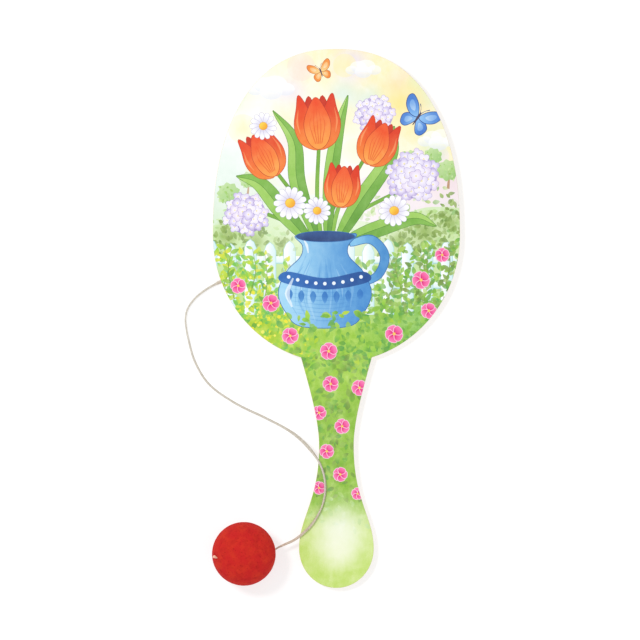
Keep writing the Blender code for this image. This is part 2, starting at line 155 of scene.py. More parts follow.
class Finishes(bpy.types.PropertyGroup):
    wood_light: colour("Light wood", "Early wood of the outer plies", (0.80, 0.64, 0.43))
    wood_dark: colour("Dark wood", "Late wood of the outer plies", (0.66, 0.47, 0.27))
    core_light: colour("Light core", "Early wood of the core ply", (0.64, 0.47, 0.29))
    core_dark: colour("Dark core", "Late wood of the core ply", (0.50, 0.34, 0.19))
    steel: colour("Staple steel", "Bare wire", (0.60, 0.60, 0.62))
    rubber: colour("Natural rubber", "Of the strand", (0.61, 0.555, 0.465))
    rubber_chalk: colour("Chalked rubber", "Of the powder on the strand", (0.74, 0.70, 0.625))
    rubber_near_ball: colour("Rubber near the ball", "Tints the strand by the ball", (0.96, 0.84, 0.76))
    # Paler cut rubber at the knotted end, with the red ball's reflected light painted in as pink.
    tip_rubber_painted_red_reflection: colour("Tip rubber, painted red reflection", "Of the strand's cut end in the ball", (0.98, 0.56, 0.40))
    sponge: colour("Sponge rubber", "Of the ball", (0.57, 0.0185, 0.0185))
    sponge_worn: colour("Rubbed sponge rubber", "Of the ball's raised spots", (0.66, 0.0440, 0.0180))
    # Painted shade: a darker red for the shade inside the ball's pores.
    sponge_pore_shade: colour("Painted shade in the pores", "Of the ball's pores", (0.36, 0.009, 0.010))


class StageSizes(bpy.types.PropertyGroup):
    floor: length("Floor", "Side of the floor", 26.0)
    view_x: length("View X", "Middle of the photograph", -0.00852)
    view_y: length("View Y", "Middle of the photograph", -0.00078)
    view_width: length("View width", "What the photograph takes in", 0.33250)
    lens: number("Lens", "Focal length in millimetres", 500)


# Tools


def clamp(share):
    return min(max(share, 0.0), 1.0)


def ease(share):
    """A share from 0 to 1 that sets off and arrives gently."""
    share = clamp(share)
    return share * share * (3 - 2 * share)


def pick(piece=None):
    """Selects one piece alone and makes it active, or else nothing."""
    if bpy.context.object and bpy.context.object.mode != "OBJECT":
        bpy.ops.object.mode_set(mode="OBJECT")
    bpy.ops.object.select_all(action="DESELECT")
    bpy.context.view_layer.objects.active = piece
    if piece:
        piece.select_set(True)


@contextmanager
def edit_mode():
    """The active piece in edit mode with all of its mesh selected, while the block runs."""
    bpy.ops.object.mode_set(mode="EDIT")
    bpy.ops.mesh.select_all(action="SELECT")
    yield
    bpy.ops.object.mode_set(mode="OBJECT")


def select_edges(piece, test):
    """Selects the edit mesh's edges that pass a test."""
    bpy.ops.mesh.select_mode(type="EDGE")
    bpy.ops.mesh.select_all(action="DESELECT")
    form = bmesh.from_edit_mesh(piece.data)
    for edge in form.edges:
        edge.select_set(bool(test(edge)))
    bmesh.update_edit_mesh(piece.data)


def face_outwards():
    """Turns every face of the active piece outwards."""
    with edit_mode():
        bpy.ops.mesh.normals_make_consistent(inside=False)


def new_mesh(name, points, faces, edges=()):
    """A new piece from points and faces, selected and active."""
    mesh = bpy.data.meshes.new(name)
    mesh.from_pydata([tuple(point) for point in points], list(edges), faces)
    piece = bpy.data.objects.new(name, mesh)
    bpy.context.scene.collection.objects.link(piece)
    pick(piece)
    return piece


def finish_piece(piece, material, body=None, nodes=(), smooth_angle=35):
    """Gives a piece its finish, and its body and the CAD nodes it replaces where it has them."""
    piece.data.materials.clear()
    piece.data.materials.append(material)
    pick(piece)
    bpy.ops.object.shade_smooth_by_angle(angle=radians(smooth_angle))
    if body:
        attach(piece, body)
    if nodes:
        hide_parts(*nodes)


# Materials


def shade(colour, share):
    """A colour made darker."""
    return tuple(part * share for part in colour)


class Finish:
    """A material's node tree in the making. Scales count a pattern's features to the metre."""

    def __init__(self, name, roughness, **surface):
        self.material = bpy.data.materials.new(name)
        self.material.use_nodes = True
        self.tree = self.material.node_tree
        self.shader = self.tree.nodes["Principled BSDF"]
        self.feed("Roughness", roughness)
        for socket, value in surface.items():
            self.feed(socket.replace("_", " ").title().replace("Ior", "IOR"), value)

    def feed(self, socket, value, node=None):
        """Links one of a node's sockets, or sets it. The shader's own where no node is given."""
        socket = (node or self.shader).inputs[socket]
        if isinstance(value, bpy.types.NodeSocket):
            self.tree.links.new(value, socket)
        else:
            socket.default_value = (*value, 1) if socket.type == "RGBA" else value

    def add(self, kind, inputs=(), **settings):
        node = self.tree.nodes.new("ShaderNode" + kind)
        for setting, value in settings.items():
            setattr(node, setting, value)
        for socket, value in dict(inputs).items():
            self.feed(socket, value, node)
        return node

    def place(self, scale=(1, 1, 1), turn=(0, 0, 0)):
        """Object coordinates, stretched and turned."""
        here = self.add("TexCoord").outputs["Object"]
        return self.add("Mapping", {"Vector": here, "Scale": scale, "Rotation": turn}).outputs["Vector"]

    def noise(self, vector, scale, detail=3.0, roughness=0.55, distortion=0.0):
        inputs = {"Vector": vector, "Scale": scale, "Detail": detail, "Roughness": roughness}
        return self.add("TexNoise", inputs | {"Distortion": distortion}).outputs["Fac"]

    def ramp(self, factor, *stops):
        """Values from 0 to 1 or colours, by place along a ramp."""
        node = self.add("ValToRGB", {"Fac": factor})
        while len(node.color_ramp.elements) < len(stops):
            node.color_ramp.elements.new(0.5)
        for element, (place, value) in zip(node.color_ramp.elements, stops):
            element.position = place
            element.color = (*value, 1) if hasattr(value, "__len__") else (value, value, value, 1)
        return node.outputs["Color"]

    def mix(self, factor, first, second, blend="MIX"):
        """Two colours mixed. Sockets 0, 6 and 7 are the Mix node's for colours."""
        inputs = {0: factor, 6: first, 7: second}
        return self.add("Mix", inputs, data_type="RGBA", blend_type=blend).outputs[2]

    def sum(self, first, second, operation="ADD"):
        return self.add("Math", {0: first, 1: second}, operation=operation).outputs[0]

    def total(self, *parts):
        """The sum of values, each times its share."""
        total = None
        for value, share in parts:
            part = value if share == 1 else self.sum(value, share, "MULTIPLY")
            total = part if total is None else self.sum(total, part)
        return total

    def end(self, colour, height=None, distance=0.0001, strength=1.0, roughness=None):
        self.feed("Base Color", colour)
        if roughness is not None:
            self.feed("Roughness", roughness)
        if height is not None:
            bump = self.add("Bump", {"Height": height, "Distance": distance, "Strength": strength})
            self.feed("Normal", bump.outputs["Normal"])
        return self.material


def wood(name, light, dark, along_x, ring):
    """Rotary-cut veneer: broad wavy rings, fine fibres and short dark pores along the grain."""

    def grain(share):
        """A scale that draws a pattern out along the grain."""
        return (share, 1, 1) if along_x else (1, share, 1)

    finish = Finish(name, 0.62, specular_ior_level=0.3)
    peel = radians(80)  # lean of the year rings: a peeled sheet nearly follows them
    turn = (peel, 0, pi / 2) if along_x else (0, peel, 0)
    steep = 1 / cos(peel)
    warp = finish.noise(finish.place(grain(0.10)), 45)
    waves = {
        "Vector": finish.place(grain(0.22), turn), "Scale": ring * steep, "Distortion": 8.0, "Detail": 2.0,
        "Detail Scale": 0.042 * ring / steep, "Detail Roughness": 0.5,
    }
    rings = finish.add("TexWave", waves, wave_type="BANDS", bands_direction="X").outputs["Fac"]
    fibres = finish.noise(finish.place(grain(0.02)), 4200, 3, 0.6)
    pores = finish.ramp(finish.noise(finish.place(grain(0.02)), 3000, 2, 0.5), (0.27, 0.0), (0.37, 1.0))
    share = finish.total((rings, 0.30), (warp, 0.50), (fibres, 0.45))
    middle = tuple(a * 0.35 + b * 0.65 for a, b in zip(dark, light))
    tone = finish.ramp(share, (0.35, dark), (0.62, middle), (0.85, light))
    tone = finish.mix(pores, shade(dark, 0.72), tone)
    height = finish.total((fibres, 1), (pores, 0.6))
    return finish.end(tone, height, 0.00006, 0.7, finish.ramp(fibres, (0.3, 0.72), (0.7, 0.56)))


def printed_film():
    """Ink on white film: pigment thicker and thinner in clouds and grains, under a thin gloss."""
    finish = Finish("printed_front", 0.38, specular_ior_level=0.32, coat_weight=0.06, coat_roughness=0.22)
    ink = finish.add("Attribute", attribute_name="ink", attribute_type="GEOMETRY").outputs
    here = finish.place()
    clouds = finish.noise(here, 140, 3, 0.5, 0.6)
    grains = finish.noise(here, 1900, 2, 0.6)
    strokes = finish.noise(finish.place((1, 0.45, 1), (0, 0, radians(35))), 520, 2)
    density = finish.total((clouds, 0.55), (grains, 0.2), (strokes, 0.25))
    swing = finish.sum(finish.sum(density, 0.5, "SUBTRACT"), 2.0, "MULTIPLY")
    reach = finish.sum(finish.sum(ink["Alpha"], 0.8, "MULTIPLY"), 0.2)
    gamma = finish.sum(finish.sum(swing, reach, "MULTIPLY"), 1.0)
    tone = finish.add("Gamma", {"Color": ink["Color"], "Gamma": gamma}).outputs["Color"]
    rough = finish.ramp(grains, (0.3, 0.33), (0.7, 0.42))
    return finish.end(tone, finish.total((grains, 1), (clouds, 1)), 0.00002, 0.35, rough)


def brushed_wire(colour):
    """Drawn steel wire: fine streaks along it and duller spots."""
    finish = Finish("staple_steel", 0.32, metallic=1.0)
    streaks = finish.noise(finish.place((0.04, 1, 1)), 9000, 3, 0.6)
    dull = finish.noise(finish.place(), 700)
    tone = finish.mix(finish.ramp(dull, (0.35, 0.0), (0.75, 0.55)), colour, shade(colour, 0.55))
    return finish.end(tone, streaks, 0.00001, 0.5, finish.ramp(streaks, (0.3, 0.24), (0.7, 0.46)))


def strip_rubber(name, colour, chalk, near_ball_tint):
    """Cut natural rubber: saw lines, a dusting of chalk, and a warmer tan tint over the stretch nearest the
    ball.
    """
    finish = Finish(name, 0.55, specular_ior_level=0.3)
    millimetres = finish.add("UVMap", uv_map="along").outputs["UV"]
    metres = finish.sum(finish.add("SeparateXYZ", {0: millimetres}).outputs[0], 0.001, "MULTIPLY")
    by_ball = finish.ramp(metres, (0.215, 0.0), (0.260, 1.0))
    along = finish.add("Mapping", {"Vector": millimetres, "Scale": (0.06, 9.0, 1)}).outputs["Vector"]
    lines = finish.noise(along, 4.0, 3, 0.6)
    dust = finish.noise(finish.place(), 900, 4, 0.65)
    cloud = finish.noise(finish.place(), 90, 2)
    tone = finish.mix(finish.ramp(dust, (0.42, 0.0), (0.68, 1.0)), colour, chalk)
    tone = finish.mix(finish.ramp(lines, (0.30, 0.45), (0.55, 0.0)), tone, shade(colour, 0.66))
    tone = finish.mix(finish.ramp(cloud, (0.3, 0.25), (0.7, 0.0)), tone, shade(colour, 0.8))
    # A warmer, darker tan over the stretch nearest the ball.
    tone = finish.mix(by_ball, tone, near_ball_tint, "MULTIPLY")
    rough = finish.ramp(dust, (0.35, 0.48), (0.7, 0.78))
    return finish.end(tone, finish.total((lines, 1), (dust, 1)), 0.00004, 0.6, rough)


def rubber_finish():
    """The strand's chalked finish, made once and shared by all but its knotted end."""
    finishes = bpy.context.scene.finishes
    made = bpy.data.materials.get("natural_rubber_strip")
    return made or strip_rubber(
        "natural_rubber_strip", finishes.rubber, finishes.rubber_chalk, finishes.rubber_near_ball
    )


def sponge_rubber(colour, worn, pore_shade):
    """Moulded sponge: mottled red, rubbed spots paler, small pores in the skin with painted shade in them."""
    finish = Finish("sponge_rubber", 0.85, specular_ior_level=0.06)
    here = finish.place()
    blotches = finish.noise(here, 190, 4, 0.6, 0.4)
    specks = finish.noise(here, 1100, 3, 0.6)
    tone = finish.mix(finish.ramp(blotches, (0.40, 0.05), (0.72, 0.75)), colour, worn)
    stains = finish.noise(here, 300, 3, 0.5)
    tone = finish.mix(finish.ramp(stains, (0.30, 0.45), (0.52, 0.0)), tone, shade(colour, 0.72))
    cells = finish.add("TexVoronoi", {"Vector": here, "Scale": 1250.0, "Randomness": 1.0}).outputs["Distance"]
    pores = finish.ramp(cells, (0.16, 0.0), (0.34, 1.0))
    shut = finish.ramp(specks, (0.50, 1.0), (0.60, 0.0))
    pores = finish.sum(pores, shut, "MAXIMUM")
    # Painted shade: the pores' centres take the darker red.
    tone = finish.mix(pores, pore_shade, tone)
    height = finish.total((pores, 0.8), (specks, 0.9))
    return finish.end(tone, height, 0.00016, 0.8, finish.ramp(specks, (0.3, 0.72), (0.7, 0.92)))


# Lines of the bat, the strand and the ball

FINER = 4  # steps on the bat's outline for each of the CAD model's
UPPER_STEPS, LOWER_STEPS, ROOT_STEPS, NECK_STEPS, BULB_STEPS = (FINER * n for n in (22, 15, 7, 12, 10))
CURVE_STEPS = 12  # between two given points of a strand's curve, before it is spaced evenly
SKIN_STEPS, MOUTH_STEPS, POCKET_STEPS = 110, 6, 16  # along the ball's section
STRAND_RINGS, BORE_RINGS, KNOT_RINGS = 460, 61, 300  # sections along the strand's stretches
SPIN_STEPS = 220  # round the ball
KNOT_ROUNDING = 0.46  # of the knot's section, in thicknesses of the strip


def bezier(start, start_handle, end_handle, end, steps):
    points = []
    for step in range(1, steps + 1):
        t = step / steps
        early = start * (1 - t) ** 3 + start_handle * (3 * t * (1 - t) ** 2)
        points.append(early + end_handle * (3 * t * t * (1 - t)) + end * t**3)
    return points


def bat_outline(inset=0.0):
    """The bat's outline in metres, anticlockwise from the blade's top."""
    bat = bpy.context.scene.bat_sizes
    top, bottom = bat.length / 2, -bat.length / 2
    widest_y = top - bat.blade_rise
    share = 2 / bat.blade_fullness
    half = []
    for step in range(UPPER_STEPS + 1):
        turn = pi / 2 * (1 - step / UPPER_STEPS)
        x = bat.blade_width / 2 * cos(turn) ** share if step else 0.0
        half.append(Vector((x, widest_y + bat.blade_rise * sin(turn) ** share)))
    root_turn = acos(bat.root_width / bat.blade_width)
    for step in range(1, LOWER_STEPS + 1):
        turn = root_turn * step / LOWER_STEPS
        half.append(Vector((bat.blade_width / 2 * cos(turn), widest_y - bat.blade_drop * sin(turn))))
    root = half[-1]
    flare = Vector((-sin(bat.flare_angle), -cos(bat.flare_angle))) * bat.flare_ease
    neck = Vector((bat.neck_width / 2, bottom + bat.neck_height))
    bulb = Vector((bat.bulb_width / 2, bottom + bat.bulb_height))
    up = Vector((0.0, 1.0))
    half += bezier(root, root + flare, neck + up * bat.neck_ease, neck, ROOT_STEPS)
    half += bezier(neck, neck - up * bat.neck_run, bulb + up * bat.bulb_run, bulb, NECK_STEPS)
    for step in range(1, BULB_STEPS + 1):
        turn = pi / 2 * step / BULB_STEPS
        half.append(Vector((bulb.x * cos(turn), bulb.y - bat.bulb_height * sin(turn))))
    half[-1].x = 0.0
    loop = [Vector((-p.x, p.y)) for p in half] + half[-2:0:-1]
    if not inset:
        return loop
    moved = []
    for index, point in enumerate(loop):
        run = loop[(index + 1) % len(loop)] - loop[index - 1]
        moved.append(point + Vector((-run.y, run.x)).normalized() * inset)
    return moved


def layer_heights():
    """Lowest height of the back, core and face plies and the print, and the front's height."""
    bat = bpy.context.scene.bat_sizes
    core = bat.back_z + bat.back_ply + bat.glue_line
    face = core + bat.core_ply + bat.glue_line
    sheet = face + bat.face_ply + bat.glue_line
    return bat.back_z, core, face, sheet, sheet + bat.print_thickness


def smooth_curve(points, count):
    """Evenly spaced points along one smooth curve through the given ones, a centripetal spline."""
    points = [Vector(point) for point in points]
    padded = [2 * points[0] - points[1], *points, 2 * points[-1] - points[-2]]
    dense = []
    for p0, p1, p2, p3 in zip(padded, padded[1:], padded[2:], padded[3:]):
        t1 = sqrt((p1 - p0).length)
        t2 = t1 + sqrt((p2 - p1).length)
        t3 = t2 + sqrt((p3 - p2).length)
        for step in range(CURVE_STEPS):
            t = t1 + (t2 - t1) * step / CURVE_STEPS
            a1 = p0.lerp(p1, t / t1)
            a2 = p1.lerp(p2, (t - t1) / (t2 - t1))
            a3 = p2.lerp(p3, (t - t2) / (t3 - t2))
            b1 = a1.lerp(a2, t / t2)
            b2 = a2.lerp(a3, (t - t1) / (t3 - t1))
            dense.append(b1.lerp(b2, (t - t1) / (t2 - t1)))
    dense.append(points[-1])
    lengths = [0.0]
    for before, after in zip(dense, dense[1:]):
        lengths.append(lengths[-1] + (after - before).length)
    even = []
    place = 0
    for index in range(count):
        wanted = lengths[-1] * index / (count - 1)
        while place < len(dense) - 2 and lengths[place + 1] < wanted:
            place += 1
        share = (wanted - lengths[place]) / (lengths[place + 1] - lengths[place])
        even.append(dense[place].lerp(dense[place + 1], min(share, 1.0)))
    return even


def followed(path):
    """Each point of a path, with the path's direction there."""
    for index, point in enumerate(path):
        yield point, (path[min(index + 1, len(path) - 1)] - path[max(index - 1, 0)]).normalized()


def ball_place():
    """The ball's place: its own Z runs along the bore towards the knotted end."""
    ball = bpy.context.scene.ball_sizes
    flat = cos(ball.bore_rise)
    bore = Vector((-flat * cos(ball.bore_turn), -flat * sin(ball.bore_turn), sin(ball.bore_rise)))
    across = Vector((0.0, 0.0, 1.0)).cross(bore).normalized()
    turned = Matrix((across, bore.cross(across), bore)).transposed().to_4x4()
    return Matrix.Translation((ball.x, ball.y, ball.diameter / 2)) @ turned


# Route of the free stretch seen from above, as the CAD model has it: x, y, and how far it
# has climbed from the table (0) to the handle's front (1)
ROUTE = (
    (-0.0012, 0.0497, 0.0), (-0.0055, 0.0437, 0.0), (-0.0135, 0.0380, 0.0), (-0.0255, 0.0324, 0.0),
    (-0.0410, 0.0267, 0.0), (-0.0525, 0.0223, 0.0), (-0.0598, 0.0194, 0.0), (-0.0676, 0.0152, 0.0),
    (-0.0734, 0.0106, 0.0), (-0.0774, 0.0050, 0.0), (-0.0785, -0.0002, 0.0), (-0.0779, -0.0062, 0.0),
    (-0.0768, -0.0115, 0.0), (-0.0737, -0.0221, 0.0), (-0.0664, -0.0340, 0.0), (-0.0530, -0.0438, 0.0),
    (-0.0373, -0.0515, 0.12), (-0.0281, -0.0562, 0.46), (-0.0211, -0.0607, 0.82), (-0.0143, -0.0672, 1.0),
    (-0.0084, -0.0757, 1.0), (-0.0059, -0.0847, 1.0), (-0.0064, -0.0940, 1.0), (-0.0095, -0.1018, 1.0),
    (-0.0140, -0.1083, 1.0), (-0.0212, -0.1146, 1.0), (-0.0265, -0.1172, 1.0), (-0.0298, -0.1187, 1.02),
)

# How far the strip has turned about its length, in degrees, by the route's y: flat at 0, on edge at 90
TURNS = (
    (0.0560, 0), (0.0200, 0), (0.0173, 76), (0.0080, 83), (-0.0040, 90), (-0.0180, 100), (-0.0370, 103),
    (-0.0530, 106), (-0.0575, 113), (-0.0610, 134), (-0.0665, 143), (-0.0730, 106), (-0.0930, 108),
    (-0.1010, 86), (-0.1070, 68), (-0.1120, 66), (-0.1165, 68), (-0.1200, 90),
)

# Second half of the knot in pitches: along the strand, across it and above it
KNOT_HALF = (
    (0.0, 1.85, 0.0), (-1.3, 1.25, 0.35), (-2.0, 0.0, 0.68), (-1.75, -1.2, 0.4), (-0.95, -1.75, -0.2),
    (0.0, -1.1, -0.68), (1.0, -0.45, -0.05), (2.0, 0.0, 0.68), (3.2, 0.0, 0.25), (4.4, 0.0, 0.0),
)


def strip_turn(y):
    """How far the strip has turned where its route reaches y."""
    for (high, before), (low, after) in zip(TURNS, TURNS[1:]):
        if y > low:
            return radians(before + (after - before) * ease((high - y) / (high - low)))
    return radians(TURNS[-1][1])


def half_height(turn):
    """Height of the strip's middle above what it lies on."""
    strand = bpy.context.scene.strand_sizes
    return sin(turn) * strand.width / 2 + abs(cos(turn)) * strand.thickness / 2


def strand_start():
    bat, strand = bpy.context.scene.bat_sizes, bpy.context.scene.strand_sizes
    return Vector((0.0, bat.staple_y - bat.wire_width / 2 - strand.pinch_exit - strand.gap, bat.back_z / 2))


def strand_route():
    """The free stretch's route from the staple to the ball's near mouth."""
    strand, ball = bpy.context.scene.strand_sizes, bpy.context.scene.ball_sizes
    start = strand_start()
    front = layer_heights()[-1]
    place = ball_place()
    bore = (place.to_3x3() @ Vector((0.0, 0.0, 1.0))).normalized()
    mouth = place.translation - bore * (ball.diameter / 2 + strand.gap)
    route = [
        Vector((x, y, climb * front + half_height(strip_turn(y)) + strand.lift)) for x, y, climb in ROUTE
    ]
    return [start, start - Vector((0.0, strand.lead, 0.0)), *route, mouth - bore * strand.lead, mouth]


def pocket_sizes():
    """Pitch of the knot, radius and half length of its pocket, and the pocket's place on the bore."""
    strand, ball = bpy.context.scene.strand_sizes, bpy.context.scene.ball_sizes
    pitch = strand.thickness + ball.knot_clearance
    reach = max(across for _, across, _ in KNOT_HALF) * pitch + strand.thickness / 2
    half_length = -min(along for along, _, _ in KNOT_HALF) * pitch + strand.thickness / 2
    half_length += 2 * ball.pocket_clearance
    centre = ball.diameter / 2 - ball.mouth_depth - half_length
    return pitch, reach + ball.pocket_clearance, half_length, centre


def knot_route():
    """Along the bore in the ball's own frame: into the pocket, the overhand knot, and out."""
    strand = bpy.context.scene.strand_sizes
    skin = bpy.context.scene.ball_sizes.diameter / 2
    pitch, _, _, centre = pocket_sizes()
    second = [Vector(point) for point in KNOT_HALF]
    first = [Vector((-p.x, p.y, -p.z)) for p in second[:0:-1]]
    path = [Vector((p.z, p.y, p.x)) * pitch + Vector((0.0, 0.0, centre)) for p in first + second]
    return [*path, Vector((0.0, 0.0, skin)), Vector((-strand.end_bend, 0.0, skin + strand.end_beyond_ball))]


def ball_profile():
    """The ball's section: over the skin, round both mouths and back up the bore and pocket."""
    ball, strand = bpy.context.scene.ball_sizes, bpy.context.scene.strand_sizes
    radius = ball.diameter / 2
    bore = strand.width / 2 + ball.bore_clearance
    lip_x = bore + ball.mouth_round
    lip_z = sqrt((radius - ball.mouth_round) ** 2 - lip_x**2)
    lip_turn = atan2(lip_x, lip_z)
    mouth, skin, pocket = [], [], []
    for step in range(MOUTH_STEPS):
        turn = pi - (pi / 2 + lip_turn) * step / MOUTH_STEPS
        mouth.append((lip_x + ball.mouth_round * cos(turn), lip_z + ball.mouth_round * sin(turn)))
    for step in range(SKIN_STEPS + 1):
        turn = lip_turn + (pi - 2 * lip_turn) * step / SKIN_STEPS
        skin.append((radius * sin(turn), radius * cos(turn)))
    _, pocket_radius, half_length, centre = pocket_sizes()
    for step in range(POCKET_STEPS + 1):
        turn = pi * step / POCKET_STEPS
        pocket.append((bore + (pocket_radius - bore) * sin(turn), centre - half_length * cos(turn)))
    return mouth + skin + [(x, -z) for x, z in mouth[::-1]] + pocket


def strip_corners(centre, across, up, width, thickness, rounding):
    """Corners round a strip's section."""
    corners = []
    for quarter, (side, face) in enumerate(((1, 1), (-1, 1), (-1, -1), (1, -1))):
        for step in range(4):
            turn = radians(90 * quarter + 30 * step)
            u = side * (width / 2 - rounding) + rounding * cos(turn)
            v = face * (thickness / 2 - rounding) + rounding * sin(turn)
            corners.append(centre + across * u + up * v)
    return corners


def strip_piece(name, rings):
    """A closed piece through rings of corners, with a UV map that runs along it in millimetres."""
    count = len(rings[0])
    faces = []
    for first in range(0, (len(rings) - 1) * count, count):
        for side in range(count):
            after = (side + 1) % count
            faces.append((first + side, first + after, first + count + after, first + count + side))
    last = (len(rings) - 1) * count
    faces.append(tuple(range(count))[::-1])
    faces.append(tuple(range(last, last + count)))
    piece = new_mesh(name, [corner for ring in rings for corner in ring], faces)
    centres = [sum(ring, Vector()) / count for ring in rings]
    along = [0.0]
    for before, after in zip(centres, centres[1:]):
        along.append(along[-1] + (after - before).length * 1000)
    layer = piece.data.uv_layers.new(name="along")
    for face in piece.data.polygons:
        places = [divmod(piece.data.loops[loop].vertex_index, count) for loop in face.loop_indices]
        sides = [side for _, side in places]
        wraps = len(sides) == 4 and 0 in sides and count - 1 in sides
        for loop, (row, side) in zip(face.loop_indices, places):
            layer.data[loop].uv = (along[row], (side + count * (wraps and side == 0)) / count)
    face_outwards()
    return piece


# The printed picture: a generic garden, in millimetres on the bat's front

LEAF = ("8cbf45", "7bb43e", "9ccb58", "6aa748", "a9d05a", "5fa552")
SPRING = ("b9d63c", "96cf44", "cfe04a", "7cc653", "e3e33c", "62b96a")
PALE_LEAF = ("c6e29a", "b4d989", "d6eab0", "a8d48a")
SHADED_LEAF = ("8fae5c", "7f9f55", "a3bd6c", "93b85a")
SHRUB = ("7c9a4a", "8cab56", "6d8d45", "9dbd66", "86a34e")
GOLDEN_ANGLE = 2.39996  # sets florets evenly round a head
JUG_X = -6  # middle of the jug and the flowers in it

Shape = namedtuple("Shape", "outline near far start end radial cover fade")


def shift(place, across, up=0.0):
    return place[0] + across, place[1] + up


def scaled(points, wide, high):
    return [(x * wide, y * high) for x, y in points]


def turned(points, place, angle):
    """Points turned about the origin, then moved to a place."""
    cosine, sine = cos(angle), sin(angle)
    return [(place[0] + (x * cosine - y * sine), place[1] + x * sine + y * cosine) for x, y in points]


def smooth(points, steps=6, loop=True):
    """A smooth line through points, closed or open."""
    if loop:
        ring = [points[-1], *points, points[0], points[1]]
    else:
        before, after = (
            tuple(2 * a - b for a, b in zip(end, inner)) for end, inner in (points[:2], points[:-3:-1])
        )
        ring = [before, *points, after]
    line = []
    for corners in zip(ring, ring[1:], ring[2:], ring[3:]):
        for step in range(steps):
            t = step / steps
            line.append(tuple(
                0.5 * (2 * b + (c - a) * t + (2 * a - 5 * b + 4 * c - d) * t * t
                       + (3 * b - a - 3 * c + d) * t**3)
                for a, b, c, d in zip(*corners)
            ))
    return line if loop else line + [points[-1]]


def ellipse(place, across, up, steps):
    turns = [2 * pi * step / steps for step in range(steps)]
    return [shift(place, across * cos(turn), up * sin(turn)) for turn in turns]


def disc(place, reach, steps):
    return ellipse(place, reach, reach, steps)


def box(x0, y0, x1, y1):
    return [(x0, y0), (x1, y0), (x1, y1), (x0, y1)]


def both_sides(points, half_width, steps):
    """A smooth line and the two lines beside it, half_width(share) away."""
    line = smooth(points, steps, loop=False)
    left, right = [], []
    for index, place in enumerate(line):
        ax, ay = line[max(index - 1, 0)]
        bx, by = line[min(index + 1, len(line) - 1)]
        run = hypot(bx - ax, by - ay)
        half = half_width(index / (len(line) - 1))
        across, up = -(by - ay) / run * half, (bx - ax) / run * half
        left.append(shift(place, across, up))
        right.append(shift(place, -across, -up))
    return line, left, right


def stroke(points, widths, steps):
    """A brush line of changing width."""

    def half(share):
        place = share * (len(widths) - 1)
        low = min(int(place), len(widths) - 2)
        return (widths[low] + (widths[low + 1] - widths[low]) * (place - low)) / 2

    _, left, right = both_sides(points, half, steps)
    return left + right[::-1]


def leaf_dab(place, long, wide, angle):
    """A dab of the brush in a leaf's shape, from its stalk at the place."""
    dab = [(0, 0), (0.3, 0.48), (0.62, 0.42), (1, 0), (0.62, -0.42), (0.3, -0.48)]
    return turned(smooth(scaled(dab, long, wide), 2), place, angle)


class Picture:
    """Shapes in the order they are painted: outline, two colours and the run between them."""

    def __init__(self, seed=7):
        self.shapes = []
        self.dice = random.Random(seed)

    def lay(self, outline, near, far=None, start=(0, 0), end=(0, 1), radial=False, cover=1.0, fade=None):
        fade = cover if fade is None else fade
        self.shapes.append(Shape(outline, near, far or near, start, end, radial, cover, fade))

    def lined(self, outline, line, width, *args, **kwargs):
        """A shape with a thin drawn line round it."""
        after = outline[1:] + outline[:1]
        side = 1 if sum(a[0] * b[1] - b[0] * a[1] for a, b in zip(outline, after)) > 0 else -1
        grown = []
        for place, (ax, ay), (bx, by) in zip(outline, outline[-1:] + outline[:-1], after):
            run = hypot(bx - ax, by - ay) or 1
            grown.append(shift(place, side * (by - ay) / run * width, -side * (bx - ax) / run * width))
        self.lay(grown, line)
        self.lay(outline, *args, **kwargs)

    def brush(self, points, widths, steps, colour, cover=1.0):
        self.lay(stroke(points, widths, steps), colour, cover=cover)

    def glow(self, place, reach, colour, cover, steps=48, end=None):
        """A soft round patch that fades out towards its rim, or towards a reach of its own."""
        far = shift(place, end or reach)
        self.lay(disc(place, reach, steps), colour, None, place, far, True, cover, 0.0)


def anywhere(x0, x1, y0, y1):
    """Scatters evenly over a patch of the picture."""
    return lambda dice: (dice.uniform(x0, x1), dice.uniform(y0, y1))


def low_down(x0, x1, y0, y1, lean=0.0):
    """Scatters over a patch of the picture, thicker towards its foot."""

    def spot(dice):
        share = dice.random() ** 1.4
        x = dice.uniform(x0, x1)
        return (x, y0 + (y1 - y0) * share + lean * (x - x0) / (x1 - x0))

    return spot


def leaf(picture, place, long, wide, angle, greens, cover):
    """A leaf that runs from one green at its stalk to another at its tip."""
    end = shift(place, long * cos(angle), long * sin(angle))
    picture.lay(leaf_dab(place, long, wide, angle), *greens, place, end, cover=cover)


def leaves(picture, count, spot, greens, long=(3.4, 6.0), cover=(0.7, 1.0)):
    dice = picture.dice
    for _ in range(count):
        place = spot(dice)
        size = dice.uniform(*long)
        angle = dice.uniform(0, 2 * pi)
        pair = (dice.choice(greens), dice.choice(greens))
        leaf(picture, place, size, size * dice.uniform(0.42, 0.62), angle, pair, dice.uniform(*cover))


def cloud(picture, place, size):
    puffs = ((-1.0, 0, 0.55), (-0.45, 0.3, 0.7), (0.25, 0.35, 0.8), (0.95, 0.02, 0.6), (0, -0.15, 0.75))
    for across, up, share in puffs:
        puff = shift(place, across * size, up * size)
        reach = share * size
        picture.lay(ellipse(puff, reach, reach * 0.7, 20), "e4eaf6", "ffffff",
                    shift(puff, 0, -reach * 0.6), shift(puff, 0, reach * 0.2), cover=0.6)


def hills(picture):
    for near, far, top, ridge in (
        ("e3efe4", "d2ecc4", 70, [(-80, 50), (-62, 66), (-44, 72), (-20, 65), (0, 60), (0, 20), (-80, 20)]),
        ("efdcea", "f6ecf2", 80, [(-10, 58), (12, 72), (34, 82), (52, 78), (80, 66), (80, 20), (-10, 20)]),
        ("d3ecb8", "c2e198", 56,
         [(-80, 42), (-40, 52), (-10, 56), (20, 50), (50, 58), (80, 50), (80, 10), (-80, 10)]),
    ):
        picture.lay(smooth(ridge, 8), near, far, (0, top), (0, top - 34), cover=0.85)


